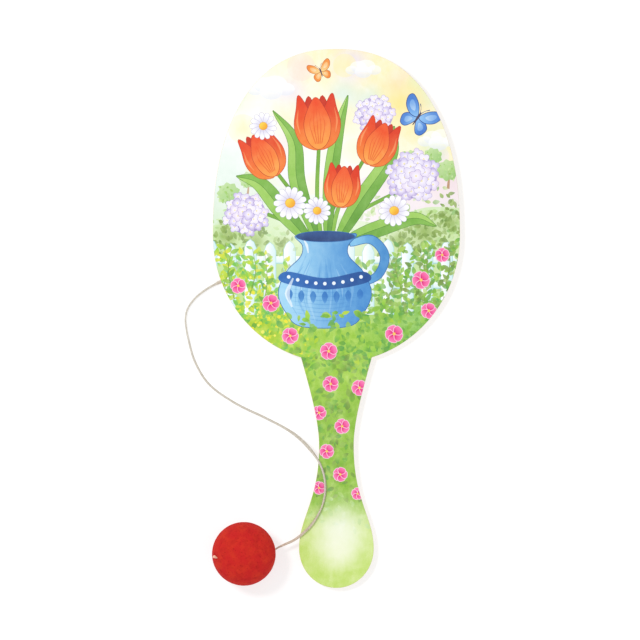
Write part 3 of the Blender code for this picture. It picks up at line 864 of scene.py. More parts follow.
def round_tree(picture, place, size):
    trunk = [shift(place, 0, -size * 1.6), shift(place, size * 0.08, -size * 0.6), place]
    picture.brush(trunk, [size * 0.26, size * 0.16, size * 0.1], 3, "b58a62", 0.85)
    crown = []
    for step in range(18):
        turn, reach = step * pi / 9, size * (0.86 + 0.18 * (step % 2))
        crown.append(shift(place, reach * cos(turn), reach * sin(turn) * 0.95))
    picture.lay(smooth(crown, 2), "c4e0a0", "8fc46a",
                shift(place, -size, size), shift(place, size, -size), cover=0.9)

    def spot(dice):
        return shift(place, size * dice.uniform(-0.75, 0.6), size * dice.uniform(-0.75, 0.6))

    leaves(picture, 22, spot, PALE_LEAF + LEAF[:2], (1.2, 2.2), (0.5, 0.9))


def shrub(picture, place, across, up, count):
    """A bush of leaves, denser towards its heart."""
    dice = picture.dice
    ring = []
    for step in range(10):
        turn = step * pi / 5
        x = across * dice.uniform(0.7, 1.0) * cos(turn)
        ring.append(shift(place, x, up * dice.uniform(0.7, 1.0) * sin(turn)))
    picture.lay(smooth(ring, 3), "93b15c", "b9d28a", place, shift(place, across), True, 0.8, 0.15)

    def spot(dice):
        turn, reach = dice.uniform(0, 2 * pi), dice.random() ** 0.7
        return shift(place, across * reach * cos(turn), up * reach * sin(turn))

    leaves(picture, count, spot, SHRUB, (2.4, 4.2), (0.45, 0.9))


def fence(picture, low, high):
    """Two rails behind pointed boards."""
    for rail in (low + 8, high - 11):
        picture.lay(box(-70, rail, 70, rail + 3.4), "e0f3f6", "fbffff",
                    (0, rail), (0, rail + 3.4), cover=0.95)
        picture.lay(box(-70, rail - 0.6, 70, rail), "a5d8dc", cover=0.9)
    wide, pitch = 5.8, 10.2
    x = -68.0
    while x < 70:
        top = high + 1.2 * sin(x * 0.35)
        board = [(x, low - 6), (x + wide, low - 6), (x + wide, top - 4.4), (x + 4.6, top - 1.4),
                 (x + 2.9, top), (x + 1.2, top - 1.4), (x, top - 4.4)]
        picture.lined(board, "a5d8dc", 0.32, "ffffff", "d3eef0", (x, 0), (x + wide, 0))
        x += pitch


def vine(picture, points, greens):
    """A thin stem with leaves to both sides."""
    dice = picture.dice
    picture.brush(points, [0.7, 0.5, 0.25], 6, "7d9a45", 0.75)
    stem = smooth(points, 9, loop=False)
    side = 1
    for (ax, ay), (bx, by) in list(zip(stem, stem[1:]))[1::2]:
        size = 4.6 * dice.uniform(0.75, 1.1)
        angle = atan2(by - ay, bx - ax) + side * dice.uniform(0.7, 1.1)
        leaf(picture, (bx, by), size, size * 0.48, angle, (dice.choice(greens), dice.choice(greens)), 0.9)
        side = -side


def tulip(picture, place, high, angle):
    """Five petals, back to front, with veins and a shine to both sides."""
    wide = high * 0.82
    base, tip = turned([(0, 0), (0, high)], place, angle)
    back = ((0, 0.1), (0.3, 0.55), (0.16, 0.99), (-0.02, 0.6))
    side = ((0, 0), (0.36, 0.1), (0.52, 0.42), (0.45, 0.78), (0.38, 1.02), (0.18, 0.74), (0.04, 0.36))
    front = ((0, 0), (-0.22, 0.14), (-0.3, 0.48), (-0.16, 0.8),
             (0, 0.96), (0.16, 0.8), (0.3, 0.48), (0.22, 0.14))
    for petal, flip, near, far in (
        (back, -1, "e2472a", "c9341d"), (back, 1, "e2472a", "c9341d"), (side, -1, "f58a3c", "e5431f"),
        (side, 1, "f2823a", "dd3b1e"), (front, 1, "f9a24a", "ee5428"),
    ):
        outline = smooth(scaled(petal, flip * wide, high), 5)
        picture.lined(turned(outline, place, angle), "b8321a", 0.25, near, far, base, tip)
    for dx in (-0.17, -0.08, 0.0, 0.08, 0.17):
        vein = scaled([(dx * 0.4, 0.1), (dx, 0.45), (dx * 0.7, 0.8 - abs(dx))], wide, high)
        picture.brush(turned(vein, place, angle), [0.5, 0.35, 0.1], 4, "d9401c", 0.5)
    for flip in (-1, 1):
        shine = scaled([(0.4, 0.3), (0.45, 0.52), (0.41, 0.75)], flip * wide, high)
        picture.brush(turned(shine, place, angle), [0.2, 1.1, 0.2], 4, "ffc58a", 0.45)


def petals(picture, petal, count, first, place, size, colours, line):
    """A ring of petals, each lined and shaded from the flower's heart to its tip."""
    outline = smooth(scaled(petal, size, size), 3)
    for step in range(count):
        turn = first + 2 * pi * step / count
        (tip,) = turned([(0, size)], place, turn)
        picture.lined(turned(outline, place, turn), colours[0], line, *colours[1:], place, tip)


def daisy(picture, place, size):
    petal = [(0, 0), (-0.17, 0.55), (-0.12, 0.95), (0.12, 0.95), (0.17, 0.55)]
    petals(picture, petal, 13, 0.6 * pi / 13, place, size, ("b9b3d6", "d3cfe8", "ffffff"), 0.18)
    picture.lined(ellipse(place, size * 0.3, size * 0.28, 14), "d98f1e", 0.18, "fbd34e", "efa62c",
                  shift(place, -size * 0.2, size * 0.2), shift(place, size * 0.25, -size * 0.25))


def blossom(picture, place, size, angle):
    petal = [(0, 0.05), (-0.5, 0.42), (-0.42, 0.88), (0, 0.98), (0.42, 0.88), (0.5, 0.42)]
    petals(picture, petal, 5, angle, place, size, ("f9cfe2", "ea3d8c", "f97fb4"), 0.3)
    for step in range(5):
        vein = turned([(0, 0.15 * size), (0, 0.62 * size)], place, angle + 2 * pi * (step + 0.5) / 5)
        picture.brush(vein, [size * 0.1, size * 0.03], 2, "c9286f", 0.7)
    picture.lay(disc(place, size * 0.19, 9), "fbe08a", "f2b53c", place, shift(place, size * 0.2), radial=True)


def lilac_head(picture, place, size, florets):
    """A round head of small four-lobed florets, the outer ones first."""
    picture.lay(ellipse(place, size * 0.95, size * 0.9, 26), "c3b6dd", "a99bcb",
                shift(place, 0, size), shift(place, 0, -size))
    for index in reversed(range(florets)):
        reach = size * 0.98 * sqrt((index + 0.4) / florets)
        angle = index * GOLDEN_ANGLE
        spot = shift(place, reach * cos(angle), reach * 0.94 * sin(angle))
        big = size * (0.29 - 0.05 * reach / size)
        ring = []
        for step in range(16):
            turn = 2 * pi * step / 16
            lobe = big * (0.62 + 0.38 * abs(cos(2 * turn)))
            ring.append((lobe * cos(turn), lobe * sin(turn)))
        tone = picture.dice.choice(("e2daf2", "f0eafa", "cfc3ea", "e6d8f0", "c3b4e0"))
        floret = turned(ring, spot, picture.dice.random() * 3)
        picture.lined(floret, "a191cb", 0.16, "f8f4ff", tone, spot, shift(spot, big), radial=True)
        picture.lay(disc(spot, big * 0.16, 7), "f6e9b0")


def jug(picture, x, low):
    """A blue jug with a dotted band, drops below it and a brushed glaze."""

    def here(*points):
        return [(x + across, low + up) for across, up in points]

    body = here((-12, 0), (-20, 7), (-24, 17), (-20, 28), (-12.5, 36), (-11.5, 42), (-15, 47), (0, 45.4),
                (16, 48), (12, 42), (12.5, 36), (20, 28), (24, 17), (20, 7), (12, 0))
    grip = stroke(here((13, 43), (24, 45), (31, 37), (28, 27), (19, 22)), [3.0, 4.2, 4.4, 4.0, 3.0], 7)
    picture.lined(grip, "2f66a8", 0.35, "7fc0ea", "4f93cf", (x + 14, 0), (x + 31, 0))
    picture.lined(smooth(body), "2f66a8", 0.38, "a6d8f4", "4a8fd0", (x - 24, 0), (x + 25, 0))
    for step in range(9):
        up = 4 + step * 2.1
        reach = 0.9 * (12 + 11.5 * sin(min(1.0, up / 17) * pi / 2))
        ring = here((-reach, up + 1.2), (0, up - 1.2), (reach, up + 1.2))
        picture.brush(ring, [0.1, 0.7, 0.1], 6, "3b7fc2", 0.22)
    dice = picture.dice
    for _ in range(34):
        share = dice.uniform(-0.92, 0.92)
        start, end = dice.uniform(0.0, 0.5), dice.uniform(0.6, 1.0)
        line = []
        for t in (start, (start + end) / 2, end):
            bulge = 13 + 10 * sin(pi * min(t * 1.25, 1.0)) ** 0.8
            line.append((x + share * bulge, low + 2 + 36 * t))
        widths = [0.2, dice.uniform(0.8, 2.0), 0.2]
        tone = dice.choice(("d5efff", "3f86cc", "8ecbf2", "2f78c2"))
        picture.brush(line, widths, 5, tone, dice.uniform(0.10, 0.26))
    band = here((-22.6, 23), (0, 19), (22.6, 23), (20, 28.4), (0, 25), (-20, 28.4))
    picture.lay(smooth(band), "2f6cb8", "23559a", (x - 22, 0), (x + 22, 0))
    for step in range(-4, 5):
        (dot,) = here((step * 4.7, 22.1 + 0.22 * step * step))
        picture.lay(disc(dot, 0.95, 10), "eef7ff")
    for step in range(-3, 4):
        (drop,) = here((step * 6.1, 15.2 + 0.14 * step * step))
        picture.lay(leaf_dab(shift(drop, 0, 3), 6.5, 3.2, -pi / 2), "2f74c0", "62a5e2",
                    drop, shift(drop, 0, -5), cover=0.75)
    picture.brush(here((-17, 10), (-19.5, 17), (-16.5, 25)), [0.8, 2.6, 0.8], 6, "ffffff", 0.65)
    picture.brush(here((-8.6, 38), (-9.4, 42), (-11, 45)), [0.5, 1.4, 0.5], 5, "ffffff", 0.7)
    (mouth,) = here((0.3, 46.6))
    picture.lined(ellipse(mouth, 15.2, 2.6, 26), "2f66a8", 0.35, "33568f", "2a4579", *here((0, 49), (0, 44)))


def butterfly(picture, place, size, angle, inner, outer, edge):
    fore = [(0.06, 0.1), (0.35, 0.62), (0.85, 0.92), (1.02, 0.7), (0.86, 0.28), (0.45, 0.02)]
    hind = [(0.05, 0.02), (0.45, 0.02), (0.72, -0.22), (0.62, -0.62), (0.34, -0.66), (0.1, -0.3)]
    feeler = [(0.02, 0.3), (0.14, 0.55), (0.3, 0.72)]
    trunk = [(0, -0.42), (0, 0.05), (0, 0.36)]
    for flip in (size, -size):
        for wing in (hind, fore):
            heart = [sum(part) / len(wing) for part in zip(*wing)]
            bloom = [((x - heart[0]) * 0.5 + heart[0], (y - heart[1]) * 0.5 + heart[1]) for x, y in wing]
            (tip,) = turned(scaled([wing[2]], flip, size), place, angle)
            whole, middle = (
                turned(scaled(smooth(points, 5), flip, size), place, angle) for points in (wing, bloom)
            )
            picture.lined(whole, edge, size * 0.035, inner, outer, place, tip)
            picture.lay(middle, "ffffff", inner, place, tip, cover=0.55)
        line = turned(scaled(feeler, flip, size), place, angle)
        picture.brush(line, [size * 0.035, size * 0.02, size * 0.05], 5, edge)
    line = turned(scaled(trunk, size, size), place, angle)
    picture.brush(line, [size * 0.04, size * 0.13, size * 0.08], 5, "4a3f57")


def paint_sky(picture):
    """Soft spots of colour, the sun's glow, clouds and hills."""
    dice = picture.dice
    for _ in range(46):
        spot = (dice.uniform(-60, 60), dice.uniform(46, 136))
        tone = dice.choice(("f3efc4", "e3f0cc", "f8e0da", "dcefe8", "fbf0ba", "ebe2f3", "e9f0c0"))
        picture.glow(spot, dice.uniform(6, 14), tone, dice.uniform(0.6, 0.95), 22, 14)
    picture.glow((34, 112), 20, "ffec96", 0.8)
    for place, size in (((-34, 119), 8), ((14, 129), 6), ((53, 92), 7)):
        cloud(picture, place, size)
    hills(picture)


def paint_garden(picture):
    """Trees and shrubs, the fence, and leaves and vines before it."""
    dice = picture.dice
    for place, size in (((-56, 65), 6), ((-46, 72), 4.5), ((50, 84), 5), ((58, 77), 6), ((39, 84), 3.8)):
        round_tree(picture, place, size)
    leaves(picture, 150, low_down(-66, 66, 40, 58), PALE_LEAF, (2.4, 4.4), (0.5, 0.8))
    leaves(picture, 90, low_down(14, 66, 34, 66, 4), PALE_LEAF + LEAF, (2.4, 4.2), (0.4, 0.8))
    for bush in (
        ((-57, 43), 9, 12, 46), ((-42, 40), 8, 9, 34), ((46, 45), 11, 13, 60), ((59, 50), 8, 15, 46),
        ((33, 41), 7, 8, 26), ((-28, 38), 6, 7, 20),
    ):
        shrub(picture, *bush)
    fence(picture, 8, 40)
    leaves(picture, 70, low_down(-66, 66, 14, 36), SHADED_LEAF, (2.6, 4.6), (0.3, 0.6))
    leaves(picture, 380, low_down(-66, -14, -24, 29, -8), SPRING, (2.6, 4.6), (0.65, 1.0))
    leaves(picture, 360, low_down(4, 66, -24, 28, 14), LEAF, (2.8, 5.2), (0.65, 1.0))
    leaves(picture, 130, anywhere(-64, 64, -5, 9), LEAF + SPRING[:2], (2.8, 4.8))
    leaves(picture, 190, low_down(-66, -24, 2, 36, -4), SPRING, (2.6, 4.4))
    leaves(picture, 120, low_down(22, 66, 2, 36, 8), LEAF + SHRUB, (2.6, 4.6), (0.6, 0.95))
    for foot, lean, greens in (
        ((-60, 14), 4, SPRING), ((-53, 10), -3, LEAF), ((-45, 12), 3, SPRING), ((-38, 6), 2, LEAF),
        ((26, 8), 4, SHADED_LEAF), ((34, 14), -3, LEAF), ((41, 12), 5, SHADED_LEAF), ((49, 16), -2, LEAF),
        ((57, 18), 2, SHADED_LEAF),
    ):
        high = dice.uniform(20, 27)
        vine(picture, (foot, shift(foot, lean, high / 2), shift(foot, lean / 2, high)), greens)
    for _ in range(120):
        spot = (dice.uniform(-62, -18), 22 - 46 * dice.random() ** 0.8)
        reach = dice.uniform(0.5, 1.1)
        picture.lay(disc(spot, reach, 7), dice.choice(("f0e63a", "e4e23c", "f4ee6a")), cover=0.9)


def leaf_half(wide):
    """Half the width of a long leaf, by the share of its length."""
    return lambda t: wide / 2 * sin(pi * t**0.75) ** 0.8 + 0.12 if 0 < t < 1 else 0.12


def paint_bouquet(picture):
    """Tulips, daisies and lilac in a jug, and two butterflies."""
    picture.glow((JUG_X, 66), 62, "ffffff", 0.6)
    for foot, bend, top in (
        ((-6, 40), (-12, 58), (-31, 76)), ((-2, 40), (-4, 64), (-9, 92)), ((3, 40), (8, 60), (15, 84)),
        ((5, 40), (16, 54), (32, 66)), ((-7, 40), (-20, 50), (-41, 56)), ((0, 40), (2, 52), (2, 64)),
    ):
        stem = (shift(foot, JUG_X), shift(bend, JUG_X), top)
        picture.lined(stroke(stem, [2.0, 1.7, 1.5], 8), "5b8d35", 0.22, "8fc152", "79ae42", stem[0], top)
    for wide, foot, bend, *rest in (
        (9.0, (-6, 38), (-22, 56), (-40, 70), (-52, 74)), (8.5, (5, 38), (18, 60), (28, 84), (30, 100)),
        (8.0, (-3, 38), (-14, 70), (-22, 92), (-33, 108)), (8.0, (6, 38), (26, 46), (40, 52), (52, 48)),
        (7.0, (1, 38), (3, 72), (1, 98), (6, 116)),
    ):
        foot = shift(foot, JUG_X)
        rib, left, right = both_sides((foot, shift(bend, JUG_X), *rest), leaf_half(wide), 7)
        picture.lined(left + rib[::-1], "4f8433", 0.22, "8cc055", "a8d36b", foot, rest[-1])
        picture.lined(rib + right[::-1], "4f8433", 0.22, "6da544", "85bb52", foot, rest[-1])
    for place, size, florets in (((40, 74), 13, 34), ((-47, 54), 11, 28), ((20, 106), 10, 26)):
        lilac_head(picture, place, size, florets)
    for place, high, lean in (((-32, 74), 25, 28), ((17, 80), 24, -22), ((-9, 88), 28, 4)):
        tulip(picture, place, high, radians(lean))
    for place, size in (((-24, 60), 8.5), ((30, 56), 8), ((-38, 100), 7)):
        daisy(picture, place, size)
    tulip(picture, (2, 58), 22, radians(-6))
    daisy(picture, (-10, 56), 7)
    jug(picture, JUG_X, -4)
    butterfly(picture, (42, 104), 10, radians(-35), "8ec1f2", "4a7fd0", "2b4a8f")
    butterfly(picture, (-8, 128), 6, radians(20), "fbd38a", "f28c3a", "a8521c")


def paint_handle(picture):
    """Leaves at the jug's foot and down the handle, the bulb's glow, and blossoms over all."""
    leaves(picture, 130, low_down(-34, 26, -26, 4), LEAF + SPRING[:2], (3.2, 5.8))
    leaves(picture, 330, anywhere(-20, 20, -92, -16), LEAF + SHRUB, (2.6, 5.6), (0.35, 0.85))
    leaves(picture, 40, anywhere(-18, 18, -108, -90), LEAF[:3] + PALE_LEAF, (2.6, 4.6), (0.3, 0.6))
    picture.glow((2, -110), 24, "ffffff", 0.75)
    picture.glow((1, -122), 15, "fffff4", 0.6)
    for place, size, angle in (
        ((-51, 17), 4.3, 0.2), ((-34, 8), 4.8, 0.9), ((44, 20), 5.0, 0.5), ((55, 33), 4.0, 0.1),
        ((30, -8), 5.0, 0.4), ((48, 4), 4.4, 0.9), ((-24, -9), 4.6, 0.7), ((-4, -17), 4.8, 0.0),
        ((12, -36), 4.4, 0.6), ((-3, -34), 4.4, 0.3), ((-9, -49), 4.0, 0.8), ((3, -56), 4.2, 0.2),
        ((-5, -69), 4.0, 0.5), ((2, -81), 4.0, 0.9), ((-9, -88), 3.6, 0.4), ((11, -91), 3.4, 0.1),
    ):
        blossom(picture, place, size * 0.9, angle)


def paint():
    """All the picture's shapes, from the sky to the blossoms."""
    picture = Picture()
    paint_sky(picture)
    paint_garden(picture)
    paint_bouquet(picture)
    paint_handle(picture)
    return picture.shapes


# The printed sheet

SHEET_SPACING = 1.7  # between the sheet's points where nothing is drawn, in millimetres
SHEET_REACH = (65.0, 140.0)  # half the width and length that the points cover
NEAREST = 1e-4  # points of the picture closer than this become one
WASH_GRAIN, INK_GRAIN = 1.0, 0.3  # how much of the film's clouds and grain the washes and the shapes take


def tint(code):
    """An sRGB colour code as three shares."""
    return np.array([int(code[place : place + 2], 16) / 255 for place in (0, 2, 4)])


def covered(outline, x, y):
    """Which points lie inside a closed outline."""
    turns = np.zeros(len(x), int)
    for (ax, ay), (bx, by) in zip(outline, outline[1:] + outline[:1]):
        side = (bx - ax) * (y - ay) - (by - ay) * (x - ax)
        turns += (ay <= y) & (by > y) & (side > 0)
        turns -= (ay > y) & (by <= y) & (side < 0)
    return turns != 0


def ground_wash(x, y):
    """The washes under the picture: cream sky, green ground, paler bulb."""
    wash = np.ones((*x.shape, 3))
    for code, share in (
        ("fdf2c6", (x + y - 50) / 95),
        ("e6f3ea", (8 - x) / 60 * np.clip(1 - np.abs(y - 70) / 40, 0, 1)),
        ("a6d052", (32 - y) / 40),
        ("b4d23a", (-x - 12) / 30 * np.clip((24 - y) / 20, 0, 1)),
        ("86c056", (x - 8) / 34 * np.clip((24 - y) / 20, 0, 1)),
        ("96c34c", (-30 - y) / 20),
        ("cae380", (-95 - y) / 14),
    ):
        wash += (tint(code) - wash) * np.clip(share, 0, 1)[..., None]
    return wash


def cut_up(outline, shapes):
    """A flat sheet's points and triangles, cut along every shape's outline."""
    points, edges = [], []
    for loop in (outline, *(shape.outline for shape in shapes)):
        first = len(points)
        points += loop
        edges += [(first + step, first + (step + 1) % len(loop)) for step in range(len(loop))]
    half_wide, half_long = SHEET_REACH
    rows = np.arange(-half_long, half_long, SHEET_SPACING * 0.866)  # for triangles of equal sides
    columns = np.arange(-half_wide, half_wide, SHEET_SPACING)
    grid = np.array([(x + SHEET_SPACING / 2 * (row % 2), y) for row, y in enumerate(rows) for x in columns])
    points += [tuple(point) for point in grid[covered(outline, *grid.T)]]
    spots, _, faces, *_ = delaunay_2d_cdt([Vector(point) for point in points], edges, [], 0, NEAREST, False)
    spots, faces = np.array([spot[:] for spot in spots]), np.array(faces)
    return spots, faces[covered(outline, *spots[faces].mean(axis=1).T)]


def inked(corners, shapes):
    """Linear colour at each triangle's corners, with the film's grain as its fourth part."""
    middles = corners.mean(axis=1)
    x, y = corners[..., 0], corners[..., 1]
    ink = np.concatenate([ground_wash(x, y), np.full((*x.shape, 1), WASH_GRAIN)], axis=-1)
    for shape in shapes:
        loop = np.array(shape.outline)
        low, high = loop.min(axis=0), loop.max(axis=0)
        near = np.nonzero(((middles > low) & (middles < high)).all(axis=1))[0]
        hit = near[covered(shape.outline, *middles[near].T)]
        across, up = x[hit] - shape.start[0], y[hit] - shape.start[1]
        run = np.subtract(shape.end, shape.start)
        if shape.radial:
            share = np.hypot(across, up) / np.hypot(*run)
        else:
            share = (across * run[0] + up * run[1]) / (run @ run)
        share = np.clip(share, 0, 1)
        share = (share * share * (3 - 2 * share))[..., None]
        near_ink, far_ink = (np.append(tint(code), INK_GRAIN) for code in (shape.near, shape.far))
        tone = near_ink * (1 - share) + far_ink * share
        ink[hit] += (tone - ink[hit]) * (shape.cover + (shape.fade - shape.cover) * share)
    code = ink[..., :3]
    ink[..., :3] = np.where(code > 0.04045, ((code + 0.055) / 1.055) ** 2.4, code / 12.92)  # sRGB to linear
    return ink


def painted_sheet(name, outline, height, shapes):
    """A flat sheet with the picture's colours at the corners of its triangles."""
    spots, faces = cut_up(outline, shapes)
    ink = inked(spots[faces], shapes)
    used, faces = np.unique(faces, return_inverse=True)
    flat = [(spots[index, 0] / 1000, spots[index, 1] / 1000, height) for index in used]
    sheet = new_mesh(name, flat, faces.reshape(-1, 3).tolist())
    layer = sheet.data.color_attributes.new("ink", "FLOAT_COLOR", "CORNER")
    layer.data.foreach_set("color", ink.reshape(-1).astype(np.float32))
    return sheet


# Pieces


def board_layer(name, low, high):
    """A ply: the outline filled, then raised to its thickness."""
    pick()
    loop = bat_outline()
    bpy.ops.mesh.primitive_circle_add(vertices=len(loop), radius=0.1, fill_type="NGON", location=(0, 0, 0))
    piece = bpy.context.object
    piece.name = piece.data.name = name
    for vertex, point in zip(piece.data.vertices, loop):
        vertex.co = (point.x, point.y, low)
    with edit_mode():
        bpy.ops.mesh.extrude_region_move(TRANSFORM_OT_translate={"value": (0, 0, high - low)})
    face_outwards()
    return piece


def round_rim(piece, height, width, segments):
    """Bevels the rim that lies at a height."""
    with edit_mode():
        select_edges(piece, lambda edge: all(abs(vert.co.z - height) < 1e-6 for vert in edge.verts))
        bpy.ops.mesh.bevel(offset=width, segments=segments, affect="EDGES", clamp_overlap=False)


def cut_slots(piece):
    """Cuts the two slots that the staple's legs sit in."""
    bat = bpy.context.scene.bat_sizes
    clear = 2 * bat.slot_clearance
    for side in (-1, 1):
        pick()
        x = side * (bat.staple_crown - bat.wire_thickness) / 2
        bpy.ops.mesh.primitive_cube_add(size=1, location=(x, bat.staple_y, bat.back_z))
        cutter = bpy.context.object
        depth = 2 * (bat.slot_depth + bat.slot_clearance)
        bpy.ops.transform.resize(value=(bat.wire_thickness + clear, bat.wire_width + clear, depth))
        pick(piece)
        slot = piece.modifiers.new("slot", "BOOLEAN")
        slot.operation, slot.solver, slot.object = "DIFFERENCE", "EXACT", cutter
        bpy.ops.object.modifier_apply(modifier=slot.name)
        bpy.data.objects.remove(cutter)


class PADDLE_BALL_OT_stage(bpy.types.Operator):
    """Add the pale floor, the soft lights and the camera of the photograph"""

    bl_idname = "paddle_ball.stage"
    bl_label = "Stage, lights and camera"

    LIGHTS = (("key", (-0.62, 0.34, 1.45), 0.26, 9.5), ("fill", (0.9, -0.5, 1.3), 1.1, 2.5))
    SENSOR = 36  # millimetres
    SKY = 0.67  # strength of the white world

    def execute(self, context):
        sizes = context.scene.stage_sizes
        context.scene.view_settings.view_transform = "Standard"
        pick()
        bpy.ops.mesh.primitive_plane_add(size=sizes.floor, location=(0, 0, 0))
        floor = context.object
        floor.name = floor.data.name = "floor"
        glow = {"emission_color": (1, 1, 1), "emission_strength": 0.60}
        paper = Finish("floor_paper", 0.9, specular_ior_level=0.1, **glow)
        fleck = paper.noise(paper.place(), 40, 4)
        floor.data.materials.append(paper.end(paper.ramp(fleck, (0.3, 0.46), (0.7, 0.49))))
        for name, place, side, watts in self.LIGHTS:
            bpy.ops.object.light_add(type="AREA", location=place)
            light = context.object
            light.name = light.data.name = name
            light.data.shape, light.data.size, light.data.energy = "SQUARE", side, watts
            light.rotation_euler = Vector(place).to_track_quat("Z", "Y").to_euler()
        world = context.scene.world or bpy.data.worlds.new("studio")
        context.scene.world = world
        world.use_nodes = True
        sky = world.node_tree.nodes["Background"].inputs
        sky["Color"].default_value = (1.0, 1.0, 1.0, 1.0)
        sky["Strength"].default_value = self.SKY
        height = layer_heights()[-1] + sizes.view_width * sizes.lens / self.SENSOR
        bpy.ops.object.camera_add(location=(sizes.view_x, sizes.view_y, height), rotation=(0, 0, 0))
        camera = context.object
        camera.name = "camera"
        camera.data.lens, camera.data.sensor_width = sizes.lens, self.SENSOR
        camera.data.clip_start, camera.data.clip_end = 0.05, 20
        context.scene.camera = camera
        return {"FINISHED"}


class PADDLE_BALL_OT_strand(bpy.types.Operator):
    """Add the free stretch of the elastic strand, from the staple to the ball"""

    bl_idname = "paddle_ball.strand"
    bl_label = "Free strand"

    def execute(self, context):
        strand = context.scene.strand_sizes
        path = smooth_curve(strand_route(), STRAND_RINGS)
        rings = []
        for point, run in followed(path):
            turn = strip_turn(point.y)
            side = Vector((0, 0, 1)).cross(run).normalized()
            across = side * cos(turn) + run.cross(side) * sin(turn)
            point.z = max(point.z, half_height(turn) + strand.lift / 2)
            rings.append(
                strip_corners(point, across, run.cross(across), strand.width, strand.thickness, strand.corner)
            )
        piece = strip_piece("strand", rings)
        finish_piece(piece, rubber_finish(), nodes=["elastic_cord"])
        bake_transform(piece)
        return {"FINISHED"}


def pinched_end():
    """The end squeezed under the staple, from the loose tail to the free stretch."""
    bat, strand = bpy.context.scene.bat_sizes, bpy.context.scene.strand_sizes
    low, high = bat.wire_thickness + strand.pinch_clearance, bat.back_z - strand.pinch_clearance
    grip = bat.wire_width / 2
    squeezed = grip + strand.pinch_overlap
    eased = squeezed + strand.pinch_ease
    stops = [bat.staple_y + reach for reach in (grip + strand.tail, eased, squeezed, -squeezed, -eased)]
    stops.append(strand_start().y)
    places = []
    for first, last, steps in zip(stops, stops[1:], (14, 8, 8, 8, 8)):
        places += [first + (last - first) * step / steps for step in range(steps)]
    rings = []
    for y in (*places, stops[-1]):
        tight = ease((eased - abs(y - bat.staple_y)) / strand.pinch_ease)
        centre = bat.back_z / 2 + ((low + high) / 2 - bat.back_z / 2) * tight
        width = strand.width + (strand.pinch_width - strand.width) * tight
        thickness = strand.thickness + (high - low - strand.thickness) * tight
        middle = Vector((0, y, centre))
        rings.append(
            strip_corners(middle, Vector((1, 0, 0)), Vector((0, 0, 1)), width, thickness, strand.corner)
        )
    return strip_piece("strand_pinched_end", rings)


def stretch_in_ball():
    """The straight stretch along the bore, from the near mouth to the knot."""
    strand, ball = bpy.context.scene.strand_sizes, bpy.context.scene.ball_sizes
    pitch, _, _, centre = pocket_sizes()
    near = -ball.diameter / 2 - strand.gap
    far = centre - KNOT_HALF[-1][0] * pitch - strand.gap
    rings = []
    across, up = Vector((0, 1, 0)), Vector((-1, 0, 0))
    for ring in range(BORE_RINGS):
        middle = Vector((0, 0, near + (far - near) * ring / (BORE_RINGS - 1)))
        rings.append(strip_corners(middle, across, up, strand.width, strand.thickness, strand.corner))
    return strip_piece("strand_in_ball", rings)


def knotted_end():
    """The overhand knot: round in the knot, flat again and a little swollen at its cut end."""
    strand, ball = bpy.context.scene.strand_sizes, bpy.context.scene.ball_sizes
    pitch, _, _, centre = pocket_sizes()
    round_edge = KNOT_ROUNDING * strand.thickness
    up = Vector((-1, 0, 0))
    rings = []
    for point, run in reversed(list(followed(smooth_curve(knot_route(), KNOT_RINGS)))):
        up = (up - run * up.dot(run)).normalized()
        flat = ease((point.z - centre - 3.0 * pitch) / pitch)
        swell = strand.end_swell * clamp((point.z - ball.diameter / 2) / strand.end_beyond_ball)
        width = strand.thickness + (strand.width - strand.thickness) * flat + swell / 2
        rounding = round_edge + (strand.corner - round_edge) * flat
        rings.append(strip_corners(point, up.cross(run), up, width, strand.thickness + swell, rounding))
    return strip_piece("strand_knot", rings[::-1])


class PADDLE_BALL_OT_strand_ends(bpy.types.Operator):
    """Add the strand's pinched end, the stretch in the ball and the knotted end"""

    bl_idname = "paddle_ball.strand_ends"
    bl_label = "Strand ends and knot"

    def execute(self, context):
        finishes = context.scene.finishes
        rubber = rubber_finish()
        finish_piece(pinched_end(), rubber, "bat", ["elastic_pinched_end"])
        inner = stretch_in_ball()
        inner.data.transform(ball_place())
        finish_piece(inner, rubber, "elastic_end", ["elastic_in_ball"])
        knot = knotted_end()
        knot.data.transform(ball_place())
        # Painted reflection: the knotted end's pink stands in for light thrown back by the red ball.
        colour = finishes.tip_rubber_painted_red_reflection
        tip_finish_with_painted_reflection = strip_rubber("tip_rubber_painted_red_reflection", colour, colour * 1.1, finishes.rubber_near_ball)
        finish_piece(knot, tip_finish_with_painted_reflection, "elastic_end", ["elastic_knot"])
        return {"FINISHED"}


class PADDLE_BALL_OT_plies(bpy.types.Operator):
    """Add the bat's three plies"""

    bl_idname = "paddle_ball.plies"
    bl_label = "Back, core and face plies"

    def execute(self, context):
        bat, finishes = context.scene.bat_sizes, context.scene.finishes
        outer = wood("outer_ply", finishes.wood_light, finishes.wood_dark, False, 26)
        inner = wood("core_ply", finishes.core_light, finishes.core_dark, True, 34)
        back_z, core_z, face_z, _, _ = layer_heights()
        back = board_layer("ply_back", back_z, back_z + bat.back_ply)
        round_rim(back, back_z, bat.back_round, 4)
        core = board_layer("ply_core", core_z, core_z + bat.core_ply)
        face = board_layer("ply_face", face_z, face_z + bat.face_ply)
        round_rim(face, face_z + bat.face_ply, bat.face_round, 3)
        cut_slots(back)
        cut_slots(core)
        finish_piece(back, outer, "bat", ["back_ply"])
        finish_piece(core, inner, "bat", ["core_ply"])
        finish_piece(face, outer, "bat", ["face_ply"])
        return {"FINISHED"}


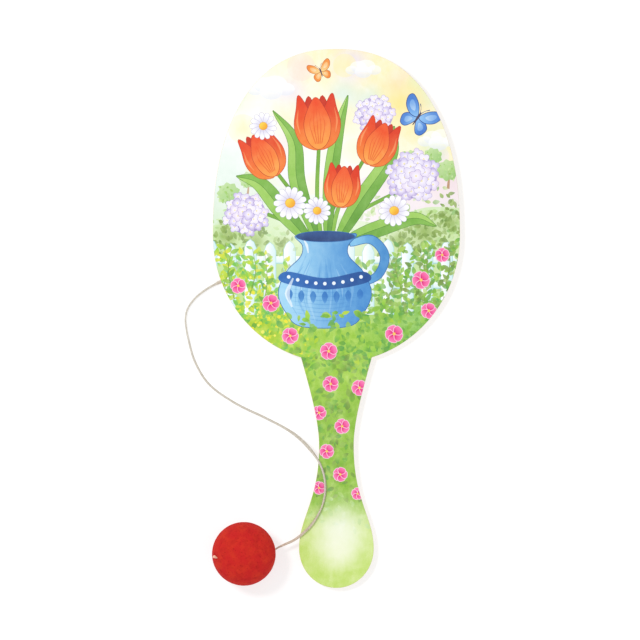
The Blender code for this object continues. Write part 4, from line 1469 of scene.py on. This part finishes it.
class PADDLE_BALL_OT_picture(bpy.types.Operator):
    """Add the printed sheet on the bat's front"""

    bl_idname = "paddle_ball.picture"
    bl_label = "Printed front"

    def execute(self, context):
        low, high = layer_heights()[-2:]
        edge = bat_outline(context.scene.bat_sizes.face_round)
        outline = [(point.x * 1000, point.y * 1000) for point in edge]
        sheet = painted_sheet("printed_sheet", outline, high, paint())
        with edit_mode():
            bpy.ops.mesh.remove_doubles(threshold=5e-7)  # points close enough to count as one; points that an export would join
            select_edges(sheet, lambda edge: edge.is_boundary)
            bpy.ops.mesh.extrude_edges_move(TRANSFORM_OT_translate={"value": (0, 0, low - high)})
            bpy.ops.mesh.edge_face_add()
        face_outwards()
        finish_piece(sheet, printed_film(), "bat", ["print_sheet"])
        return {"FINISHED"}


class PADDLE_BALL_OT_staple(bpy.types.Operator):
    """Give the staple behind the blade its bare wire finish"""

    bl_idname = "paddle_ball.staple"
    bl_label = "Staple"

    def execute(self, context):
        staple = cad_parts["staple"]
        staple.data.materials.clear()
        staple.data.materials.append(brushed_wire(context.scene.finishes.steel))
        return {"FINISHED"}


class PADDLE_BALL_OT_ball(bpy.types.Operator):
    """Add the sponge ball, with its bore and the knot's pocket"""

    bl_idname = "paddle_ball.ball"
    bl_label = "Sponge ball"

    DENTS = (("dents", 0.0045, 0.6), ("grain", 0.0011, 0.4))  # size of each, and its share of the depth
    SMOOTH_MOUTH, MOUTH_EASE = 0.0016, 0.0014  # how far the skin stays smooth round a mouth, and then eases

    def execute(self, context):
        ball, finishes = context.scene.ball_sizes, context.scene.finishes
        profile = ball_profile()
        edges = [(step, (step + 1) % len(profile)) for step in range(len(profile))]
        piece = new_mesh("sponge_ball", [(x, 0, z) for x, z in profile], [], edges)
        with edit_mode():
            bpy.ops.mesh.spin(
                steps=SPIN_STEPS, angle=2 * pi, use_auto_merge=True, center=(0, 0, 0), axis=(0, 0, 1)
            )
            bpy.ops.mesh.select_all(action="SELECT")
            bpy.ops.mesh.remove_doubles(threshold=1e-6)
        face_outwards()
        skin = piece.vertex_groups.new(name="skin")
        for vertex in piece.data.vertices:
            if vertex.co.length > ball.diameter / 2 * 0.985:
                from_bore = hypot(vertex.co.x, vertex.co.y)
                skin.add([vertex.index], clamp((from_bore - self.SMOOTH_MOUTH) / self.MOUTH_EASE), "REPLACE")
        for name, size, share in self.DENTS:
            texture = bpy.data.textures.new(name, "CLOUDS")
            texture.noise_scale, texture.noise_depth = size, 2
            dents = piece.modifiers.new(name, "DISPLACE")
            dents.texture, dents.texture_coords, dents.vertex_group = texture, "LOCAL", "skin"
            dents.strength, dents.mid_level = ball.skin_depth * share, 0.45
            bpy.ops.object.modifier_apply(modifier=dents.name)
        piece.data.transform(ball_place())
        finish = sponge_rubber(finishes.sponge, finishes.sponge_worn, finishes.sponge_pore_shade)
        finish_piece(piece, finish, "ball", ["ball"], 60)
        return {"FINISHED"}


class PADDLE_BALL_PT_panel(bpy.types.Panel):
    """Lists the paddle ball's pieces and sizes"""

    bl_idname = "PADDLE_BALL_PT_panel"
    bl_label = "Paddle Ball"
    bl_space_type = "VIEW_3D"
    bl_region_type = "UI"
    bl_category = "Paddle Ball"

    def draw(self, context):
        for operator in OPERATORS:
            self.layout.operator(operator.bl_idname)
        for name in GROUPS:
            box = self.layout.box()
            group = getattr(context.scene, name)
            for key in group.bl_rna.properties.keys():
                if key not in ("rna_type", "name"):
                    box.prop(group, key)


GROUPS = {
    "bat_sizes": BatSizes,
    "strand_sizes": StrandSizes,
    "ball_sizes": BallSizes,
    "finishes": Finishes,
    "stage_sizes": StageSizes,
}
OPERATORS = (
    PADDLE_BALL_OT_stage,
    PADDLE_BALL_OT_strand,
    PADDLE_BALL_OT_strand_ends,
    PADDLE_BALL_OT_plies,
    PADDLE_BALL_OT_picture,
    PADDLE_BALL_OT_staple,
    PADDLE_BALL_OT_ball,
)
CLASSES = (*GROUPS.values(), *OPERATORS, PADDLE_BALL_PT_panel)


def register():
    for made in CLASSES:
        bpy.utils.register_class(made)
    for name, group in GROUPS.items():
        setattr(bpy.types.Scene, name, PointerProperty(type=group))


def unregister():
    for name in GROUPS:
        delattr(bpy.types.Scene, name)
    for made in reversed(CLASSES):
        bpy.utils.unregister_class(made)


def main():
    register()
    bpy.ops.paddle_ball.stage()
    bpy.ops.paddle_ball.strand()
    bpy.ops.paddle_ball.strand_ends()
    bpy.ops.paddle_ball.plies()
    bpy.ops.paddle_ball.picture()
    bpy.ops.paddle_ball.staple()
    bpy.ops.paddle_ball.ball()


if __name__ == "__main__":
    main()
